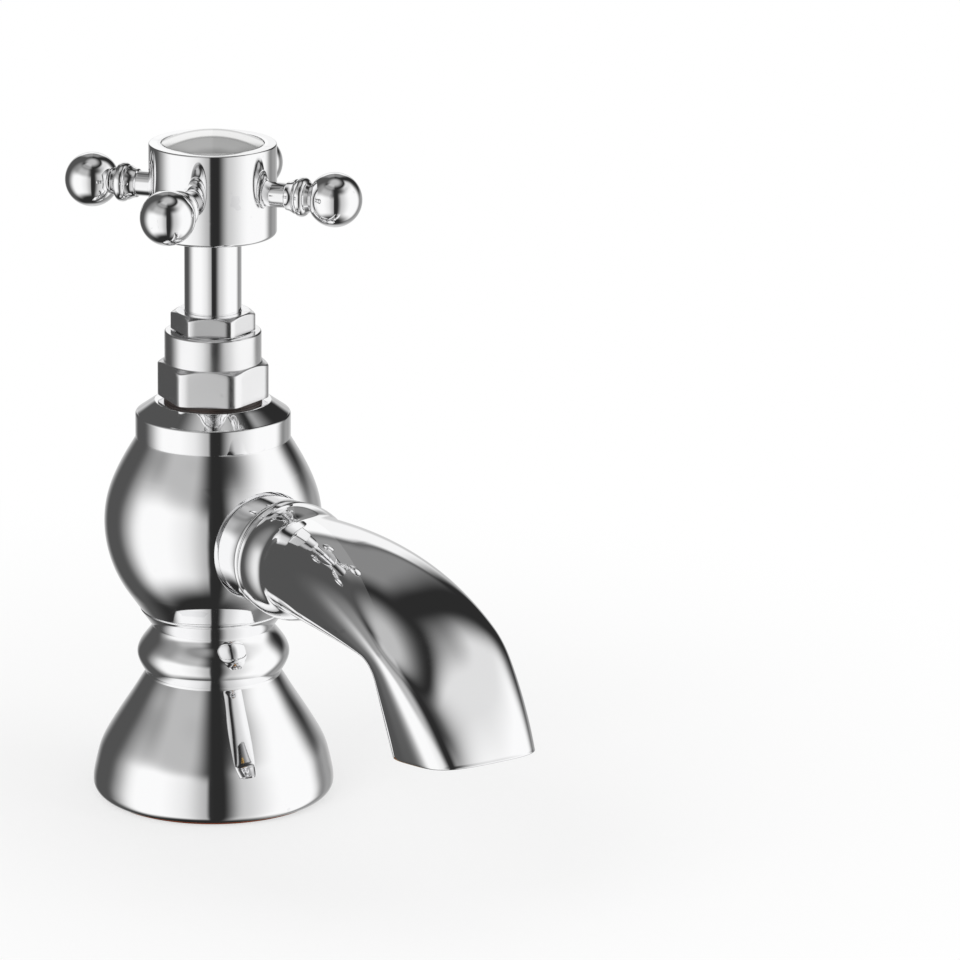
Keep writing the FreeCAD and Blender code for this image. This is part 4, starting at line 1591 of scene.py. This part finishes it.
@dataclass
class Handle(Assembly):
    """The spindle and the cross handle on it.

    Attributes:
        angle: Direction of the first arm in degrees.
        arms: Number of arms.
        arm_height: Height of the arms' axes.
        hub: Radius of the drum.
        hub_bottom: Height of its underside.
        hub_top: Height of its rim.
        cap: Radius of the cap.
        cap_floor: Height of the cap's recess floor.
        cap_dome: Rise of the cap over the rim.
        knob: Radius of a knob.
        knob_centre: Distance of a knob's centre from the spindle's axis.
        stem: Radius of the spindle.
        stem_top: Height where the square tang starts.
        tang: Width of the square tang.
        tang_top: Height of the tang's end.
    """

    angle: float = -51.1
    arms: int = 4
    arm_height: float = 138.4
    hub: float = 14.05
    hub_bottom: float = 128.5
    hub_top: float = 148.9
    cap: float = 11.3
    cap_floor: float = 145.2
    cap_dome: float = 2.4
    knob: float = 6.0
    knob_centre: float = 28.2
    stem: float = 6.3
    stem_top: float = 131.5
    tang: float = 8.0
    tang_top: float = 140.6

    def spindle(self) -> Thing:
        """The stem with its lifting thread, jumper hole, square tang and tapped hole.

        Returns:
            The object: round rings from the jumper hole up, the tang's square rings, and
            round rings down the tapped hole.
        """
        shape = FlatSided(self.tang, self.angle, sides=4, soft=0.3)
        lifting, hole, tapped, half_tang = 7.95, 3.05, 2.05, self.tang / 2
        foot, hole_end, thread_foot, thread_head, tapped_end = 70.0, 79.5, 76.0, 88.6, 126.5
        below = cornered(
            [(0.0, hole_end), (hole, hole_end), (hole, foot), (self.stem - 0.4, foot)]
            + [(self.stem, foot + 0.4), (self.stem, thread_foot), (lifting, thread_foot)]
            + [(lifting, thread_head), (self.stem, thread_head), (self.stem, self.stem_top)]
            + [(half_tang, self.stem_top)],
            step=2.0,
        )
        top = self.tang_top
        above = cornered(
            [(half_tang - 0.3, top), (tapped, top), (tapped, tapped_end), (0.0, tapped_end)]
        )
        rows = shape.round_rows(below) + shape.flat_rows(self.stem_top + 0.05, top, None, None)
        return shape.build("spindle_stem", rows + shape.round_rows(above), wrap_rows=False)

    def drum(self) -> Thing:
        """The hub with its cap recess, screw seat and arm holes.

        Returns:
            The object: a turned shell with a lined port for each arm.
        """
        bottom, top, hub, bore = self.hub_bottom, self.hub_top, self.hub, self.stem + 0.1
        rounding = 0.9
        slope = rounding * (1 - math.sqrt(0.5))
        low, side, rim = (hub - rounding, bottom), (hub, bottom + rounding), (hub, top - 0.4)
        seat, web, recess, head, screw, socket = 142.8, 140.9, self.cap + 0.05, 4.5, 2.15, 5.75
        runs = [
            straight((bore, bottom), low),
            bow(low, (hub - slope, bottom + slope), side, 10),
            straight(side, rim, 0.8),
            bow(rim, (hub - 0.12, top - 0.12), (hub - 0.4, top), 8),
            *polyline(
                [(hub - 0.4, top), (recess, top), (recess, self.cap_floor)]
                + [(head, self.cap_floor), (head, seat), (screw, seat), (screw, web)]
                + [(socket, web), (socket, self.stem_top), (bore, self.stem_top), (bore, bottom)]
            ),
        ]
        reach, rows = 4.3, 18
        low, high = self.arm_height - reach, self.arm_height + reach
        outline, first = rows_between(joined(runs, 0.1, True), low, high, False, rows)
        mouth, thread, counterbore, start = 2.8, 2.25, 13.45, 9.2
        steps = [(mouth, 13.6), (mouth, counterbore + 0.05), (mouth - 0.05, counterbore)]
        steps += [(thread + 0.05, counterbore), (thread, counterbore - 0.05)]
        steps += [(thread, start + 0.05), (thread - 0.05, start), (1.0, start), (0.0, start)]
        ports = []
        for index in range(self.arms):
            turn = self.angle + index * 360 / self.arms
            hole = Opening(mouth, self.arm_height, turn, first, first + rows, 10)
            ports.append(Port(hole, steps))
        return PortedShell(outline, ports).build("hub_drum")

    def arm(self, index: int) -> Thing:
        """One arm: spigot, neck, bell, bead, cove and ball knob.

        Args:
            index: Number of the arm, from 0.

        Returns:
            The arm, laid outward from the hub.
        """
        spigot, neck, bell, bead = 2.2, 2.75, 3.85, 4.35
        start, seat, cove_back, bead_back = 9.6, 13.45, 5.2, 7.3
        centre = self.knob_centre
        cove, bead_at = centre - cove_back, centre - bead_back
        cove_radius = math.sqrt(self.knob**2 - cove_back**2)
        bell_at = bead_at - 1.6
        bell_start = bell_at - 1.9
        rise = bell - neck
        lip = (neck + 0.36 * rise, bell_start)
        ridge = (bead - 0.85, bead_at + 1.2)
        runs = [
            *polyline([(0.0, start), (spigot, start), (spigot, seat), (neck, seat)]),
            straight((neck, seat), (neck, bell_start - 0.2), 0.5),
            straight((neck, bell_start - 0.2), lip),
            flowing([lip, (neck + 0.55 * rise, bell_start + 0.9), (bell, bell_at)], step=0.15),
            straight((bell, bell_at), (bead - 0.7, bell_at + 0.3)),
            bow((bead - 0.7, bead_at - 1.3), (bead, bead_at), ridge, 18),
            straight(ridge, (cove_radius, cove), 0.4),
            bow((cove_radius, cove), (self.knob, centre), (0.0, centre + self.knob), 72),
        ]
        grid = spun(joined(runs, soft=0.1), 112)
        laid = laid_outward(grid, self.angle + index * 360 / self.arms, self.arm_height)
        return tube(f"arm_{index + 1}_turned", laid, False)

    def domed_cap(self) -> Thing:
        """The plain domed cap.

        Returns:
            The object: a turned outline whose top is the arc of a sphere of radius
            (cap^2 + rise^2) / (2 * rise).
        """
        under, edge, crown = self.cap_floor + 0.8, self.hub_top - 0.15, self.hub_top + self.cap_dome
        half = self.cap / 2
        sphere = (self.cap**2 + (crown - edge) ** 2) / (2 * (crown - edge))
        middle = crown - sphere + math.sqrt(sphere**2 - half**2)
        runs = [
            straight((0.0, under), (self.cap, under)),
            straight((self.cap, under), (self.cap, edge)),
            bow((self.cap, edge), (half, middle), (0.0, crown), 48),
        ]
        return turned("cap_dome", joined(runs, soft=0.35), closed=False)

    def build(self) -> None:
        """Builds and dresses the spindle, drum, arms and cap."""
        self.dress(self.spindle(), "spindle", Slot.CHROME, POLISHED)
        self.dress(self.drum(), "handle_hub", Slot.CHROME, POLISHED)
        for index in range(self.arms):
            self.dress(self.arm(index), f"handle_arm_{index + 1}", Slot.CHROME, POLISHED)
        self.dress(self.domed_cap(), "index_cap", Slot.CAP, GLAZE)


# ---------------------------------------------------------------- under the deck


@dataclass
class DeckFixings(Assembly):
    """The threaded tail, the fibre washer and the backnut under the deck.

    Attributes:
        thread: Outer radius of the thread.
        pitch: Pitch of the thread.
        depth: Depth of the thread.
        bottom: Height of the tail's lower end.
        shoulder: Height of the shoulder under the foot.
        shank: Radius of the shank above the shoulder.
        top: Height of the shank's top.
        bore: Radius of the lower bore.
        upper_bore: Radius of the upper bore.
        groove: Height of the relief groove's upper side.
        washer_top: Height of the fibre washer's top.
        washer_radius: Radius of the fibre washer.
        nut_top: Height of the backnut's top.
        nut_bottom: Height of its underside.
        nut_flats: Width across its flats.
        flange: Radius of its flange.
        flange_height: Height of its flange.
    """

    thread: float = 13.22
    pitch: float = 1.814
    depth: float = 1.16
    bottom: float = -58.0
    shoulder: float = 23.0
    shank: float = 10.4
    top: float = 50.4
    bore: float = 10.0
    upper_bore: float = 8.0
    groove: float = -23.1
    washer_top: float = -12.0
    washer_radius: float = 21.02
    nut_top: float = -14.0
    nut_bottom: float = -22.5
    nut_flats: float = 38.0
    flange: float = 22.5
    flange_height: float = 2.5

    def tail(self) -> Thing:
        """The tail with its thread.

        Returns:
            The object.  On the threaded rows the radius is the thread's radius less
            depth * wave(height / pitch - angle / turn), the wave a rounded triangle, and
            the depth fades out at both ends and round the relief groove.
        """
        columns, steps_per_pitch, bare = 120, 14, 0.9
        start, end = self.bottom + bare, self.shoulder - 1.5
        height = np.arange(start, self.shoulder - 0.3, self.pitch / steps_per_pitch)[:, None]
        # The wave is flat over 0.12 of the pitch at crest and root.
        phase = height / self.pitch - around(columns) / TURN
        saw = np.abs((phase % 1.0) - 0.5) * 2
        wave = np.clip((saw - 0.12) / 0.76, 0, 1)
        wave = wave * wave * (3 - 2 * wave)
        in_groove = np.clip(1 - (np.abs(height - (self.groove - 0.6)) - 0.6) / 0.15, 0, 1)
        ends = np.clip((height - start) / 1.5, 0, 1) * np.clip((end - height) / 1.5, 0, 1)
        radius = self.thread - (self.depth * wave * (ends * (1 - in_groove)) + in_groove)
        threaded = polar_points(radius, around(columns), height)
        step = self.shoulder - 4.0
        above = cornered(
            [(self.thread, self.shoulder - 0.2), (self.thread, self.shoulder)]
            + [(self.shank, self.shoulder), (self.shank, self.top), (self.upper_bore, self.top)]
            + [(self.upper_bore, step + 1.0), (self.bore, step - 1.0), (self.bore, self.bottom)]
            + [(self.thread - 1.0, self.bottom), (self.thread - 0.15, self.bottom + 0.85)]
        )
        return tube("tail_threaded", np.concatenate([threaded, spun(above, columns)]), True)

    def washer(self) -> Thing:
        """The fibre washer."""
        corners = boxed(self.washer_radius, self.thread + 0.1, self.nut_top, self.washer_top)
        return turned("washer_fibre", cornered(corners, closed=True))

    def nut(self) -> Thing:
        """The flanged backnut.

        Returns:
            The object: the bore's round rings, the hexagon's rings and the flange's rings.
        """
        shape = FlatSided(self.nut_flats, 0.0, soft=0.4)
        foot = self.nut_flats / 2 * CHAMFER_SHARE
        bore, face = self.thread + 0.05, self.nut_top - self.flange_height
        bottom, top = self.nut_bottom, self.nut_top
        below = cornered([(bore, bottom + 0.6), (bore, bottom), (foot, bottom)])
        above = cornered(
            [(self.flange - 0.45, face), (self.flange, face), (self.flange, top)]
            + [(bore, top), (bore, bottom + 0.7)]
        )
        rows = shape.round_rows(below) + shape.flat_rows(bottom, face, foot, None)
        return shape.build("backnut_shell", rows + shape.round_rows(above))

    def build(self) -> None:
        """Builds and dresses the three pieces."""
        self.dress(self.tail(), "inlet_tail", Slot.BRASS, BRASS)
        self.dress(self.washer(), "clamp_washer", Slot.FIBRE, FIBRE)
        self.dress(self.nut(), "backnut", Slot.BRASS, BRASS)


def dress_inner_pieces() -> None:
    """Gives the pieces that keep their solids a finish of their own."""
    finishes = {
        "spout_seal": RUBBER,
        "gland_packing": PACKING,
        "jumper": BRASS,
        "jumper_washer": RUBBER,
        "jumper_nut": BRASS,
        "handle_screw": STEEL,
        "cap_gasket": RUBBER,
    }
    for node, finish in finishes.items():
        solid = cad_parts[node]
        solid.data.materials.clear()
        solid.data.materials.append(finish.material())
        log.info("%s keeps its solid", node)


# ---------------------------------------------------------------- studio


@dataclass(frozen=True)
class Card:
    """A soft-edged bright panel of the studio, seen only in reflections.

    Azimuths are measured from the camera's side, positive to its right, and elevations from
    the horizon.  Each tuple holds where the panel starts, is full, starts to fade and ends.

    Attributes:
        azimuth: Degrees round the object.
        elevation: Degrees above the horizon.
        strength: Brightness that the panel adds.
        mirrored: True if the azimuth counts the same to both sides.
    """

    azimuth: Limits
    elevation: Limits
    strength: float
    mirrored: bool = False


PANELS = (
    Card((-124, -86, -30, -2), (-68, -40, 48, 66), 0.28),
    Card((-118, -84, -8, -3), (-68, -40, 10, 32), 0.40),
    Card((-104, -74, -62, 2), (-62, -36, 14, 36), 0.32),
    Card((-88, -62, -30, 0), (10, 24, 40, 58), 0.20),
    Card((-181, -180, -112, -88), (-60, -40, 60, 76), 0.06),
    Card((9, 30, 106, 129), (-80, -42, 26, 46), 0.50),
    Card((9, 80, 112, 138), (-80, -42, 54, 62), 0.28),
    Card((20, 66, 100, 122), (-70, -42, 20, 50), 0.22),
    Card((30, 85, 112, 140), (24, 44, 54, 62), 0.46),
    Card((-92, -70, -20, 6), (52, 62, 70, 82), 0.28),
    Card((-200, -199, 199, 200), (62, 82, 91, 92), 0.50),
    Card((118, 140, 150, 180), (-75, -50, -5, 10), 0.32),
    Card((146, 178, 181, 182), (-75, -50, 2, 10), 0.60, True),
    Card((156, 168, 181, 182), (2, 11, 27, 32), 0.92, True),
    Card((150, 165, 181, 182), (28, 36, 50, 62), 0.22, True),
)


LAMP_TARGET = (0.0, 0.0, 0.07)  # the object's middle, in metres


@dataclass
class Studio:
    """A pale floor, a white surround and soft light.

    Attributes:
        toward_camera: Direction of the camera's side, in degrees from -Y towards +X.
        dome_radius: Radius of the shell that carries the panels.
        floor_radius: Radius of the floor.
        ambient: Strength of the even light from all round.
        dark: Brightness of the shell between the panels.
        floor_lift: Share of plain white that the camera sees in the floor.
        floor_fade: Distances in metres over which that share grows to all of it.
        floor_drop: Distance in millimetres of the floor below the deck's height.
    """

    toward_camera: float = -31.1
    dome_radius: float = 4.0
    floor_radius: float = 3.0
    ambient: float = 0.80
    dark: float = 0.025
    floor_lift: float = 0.55
    floor_fade: Pair = (0.05, 0.24)
    floor_drop: float = 0.05

    def world(self) -> None:
        """A world that is white to camera, glossy and transmission rays, and soft to the rest."""
        world = bpy.data.worlds.new("surround")
        world.use_nodes = True
        bpy.context.scene.world = world
        graph = Graph(world.node_tree)
        path = graph.add("LightPath").outputs
        seen = graph.maths("MAXIMUM", path["Is Camera Ray"], path["Is Glossy Ray"])
        seen = graph.maths("MAXIMUM", seen, path["Is Transmission Ray"])
        strength = graph.remap(seen, (0.0, 1.0), (self.ambient, 1.0))
        background = graph.tree.nodes["Background"]
        graph.feed(background, {"Strength": strength, "Color": (1, 1, 1, 1)})

    def panel(self, graph: Graph, card: Card, azimuth: Socket, elevation: Socket) -> Socket:
        """The brightness that one panel adds.

        Args:
            graph: The dome's graph.
            card: The panel.
            azimuth: Socket with the azimuth in degrees.
            elevation: Socket with the elevation in degrees.

        Returns:
            strength * the product of four smooth steps.
        """
        across = graph.maths("ABSOLUTE", azimuth) if card.mirrored else azimuth
        value = None
        for socket, limits in ((across, card.azimuth), (elevation, card.elevation)):
            rise = graph.remap(socket, limits[:2])
            both = graph.times(rise, graph.remap(socket, limits[2:], (1.0, 0.0)))
            value = both if value is None else graph.times(value, both)
        return graph.times(value, card.strength)

    def dome(self) -> None:
        """The shell with the panels, seen by glossy and transmission rays only."""
        rows, columns = 49, 96
        polar = np.linspace(-math.pi / 2, math.pi / 2, rows)[:, None]
        flat = np.cos(polar) * np.ones(columns)
        flat[0] = flat[-1] = 0.0
        shell = polar_points(flat, around(columns) - TURN / 4, np.sin(polar))
        thing = tube("studio_dome", shell * self.dome_radius / MM, False)
        thing.rotation_euler[2] = math.radians(self.toward_camera)
        made, graph = new_material("panels")
        graph.tree.nodes.clear()
        place = graph.add("TexCoord").outputs["Object"]
        axes = graph.add("SeparateXYZ")
        graph.feed(axes, {0: place})
        x, y, z = axes.outputs
        turn = graph.maths("ARCTAN2", x, graph.times(y, -1.0))
        azimuth = graph.times(turn, math.degrees(1.0))
        height = graph.maths("ARCSINE", graph.times(z, 1 / self.dome_radius))
        elevation = graph.times(height, math.degrees(1.0))
        total = None
        for card in PANELS:
            value = self.panel(graph, card, azimuth, elevation)
            total = value if total is None else graph.plus(total, value)
        light = graph.add("Emission")
        graph.feed(light, {"Strength": graph.maths("MINIMUM", graph.plus(total, self.dark), 1.0)})
        graph.feed(graph.add("OutputMaterial"), {"Surface": light.outputs[0]})
        thing.data.materials.append(made)
        for ray in ("camera", "diffuse", "shadow", "volume_scatter"):
            setattr(thing, f"visible_{ray}", False)

    def floor(self) -> None:
        """A pale floor at the deck's height, white further out and clear from below."""
        radii = np.concatenate([[0.0], np.geomspace(20.0, self.floor_radius / MM, 24)])
        outline = np.stack([radii, np.full_like(radii, -self.floor_drop)], axis=1)
        thing = tube("studio_floor", spun(outline, 96), False)
        if thing.data.polygons[0].normal.z < 0:
            thing.data.flip_normals()
        made, graph = new_material("pale floor")
        shader = graph.tree.nodes["Principled BSDF"]
        look = {"Roughness": 0.85, "Specular IOR Level": 0.2}
        graph.feed(shader, {**look, "Base Color": (0.93, 0.93, 0.93, 1.0)})
        length = graph.add("VectorMath")
        length.operation = "LENGTH"
        graph.feed(length, {0: graph.add("TexCoord").outputs["Object"]})
        far = graph.remap(length.outputs["Value"], self.floor_fade, (self.floor_lift, 1.0))
        back = graph.add("NewGeometry").outputs["Backfacing"]
        seen = graph.add("LightPath").outputs["Is Camera Ray"]
        white = graph.add("Emission").outputs[0]
        lifted = graph.mixed(graph.times(seen, far), shader.outputs[0], white)
        blend = graph.mixed(back, lifted, graph.add("BsdfTransparent").outputs[0])
        graph.feed(graph.tree.nodes["Material Output"], {"Surface": blend})
        thing.data.materials.append(made)
        thing.visible_glossy = False

    def lamp(self, name: str, place: Point, size: float, power: float) -> None:
        """A square area lamp that points at the object's middle.

        Args:
            name: Name of the lamp.
            place: Its position in metres.
            size: Side length in metres.
            power: Power in watts.
        """
        data = bpy.data.lights.new(name, "AREA")
        data.shape = "SQUARE"
        data.size = size
        data.energy = power
        thing = placed(name, data)
        thing.location = place
        aim = Vector(LAMP_TARGET) - Vector(place)
        thing.rotation_euler = aim.to_track_quat("-Z", "Y").to_euler()
        thing.visible_glossy = False

    def build(self) -> None:
        """Builds the whole studio."""
        self.world()
        self.dome()
        self.floor()
        self.lamp("softbox_left", place=(-1.5, -0.5, 1.3), size=1.2, power=9.0)
        self.lamp("softbox_right", place=(0.9, -1.5, 1.5), size=1.2, power=6.0)


@dataclass
class Viewpoint:
    """The camera at the photograph's viewing angle.

    Attributes:
        place: Position in millimetres.
        facing: Direction of the camera's side, in degrees from -Y towards +X.
        pan: Turn to the right, in degrees.
        tilt: Tilt down, in degrees.
        roll: Turn of the picture, in degrees.
        lens: Focal length in millimetres.
        sensor: Width of the sensor in millimetres.
    """

    place: tuple[float, float, float] = (-619.3, -1026.7, 424.0)
    facing: float = -31.1
    pan: float = 2.83
    tilt: float = 16.34
    roll: float = 0.71
    lens: float = 210.8
    sensor: float = 36.0

    def build(self) -> None:
        """Makes the camera and sets it as the scene's."""
        pan, tilt, roll = (math.radians(v) for v in (self.pan, self.tilt, self.roll))
        level = math.cos(tilt)
        ahead = np.array([math.sin(pan) * level, math.cos(pan) * level, -math.sin(tilt)])
        right = np.array([math.cos(pan), -math.sin(pan), 0.0])
        up = np.cross(right, ahead)
        turned_right = math.cos(roll) * right + math.sin(roll) * up
        turned_up = -math.sin(roll) * right + math.cos(roll) * up
        axes = about_z(np.stack([turned_right, turned_up, -ahead]), self.facing)
        data = bpy.data.cameras.new("camera")
        data.sensor_width = self.sensor
        data.lens = self.lens
        data.clip_start, data.clip_end = 0.05, 50.0
        thing = placed("camera", data)
        matrix = Matrix(axes.T.tolist()).to_4x4()
        matrix.translation = Vector(self.place) * MM
        thing.matrix_world = matrix
        bpy.context.scene.camera = thing


def main() -> None:
    """Builds the tap, the studio and the camera."""
    logging.basicConfig(level=logging.INFO, format="%(name)s: %(message)s")
    bpy.context.scene.view_settings.view_transform = "Standard"
    for assembly in (Foot, BallBody, Spout, Headwork, DeckFixings):
        assembly(Body.TAP).build()
    Handle(Body.HANDLE).build()
    dress_inner_pieces()
    Studio().build()
    Viewpoint().build()


if __name__ == "__main__":
    main()
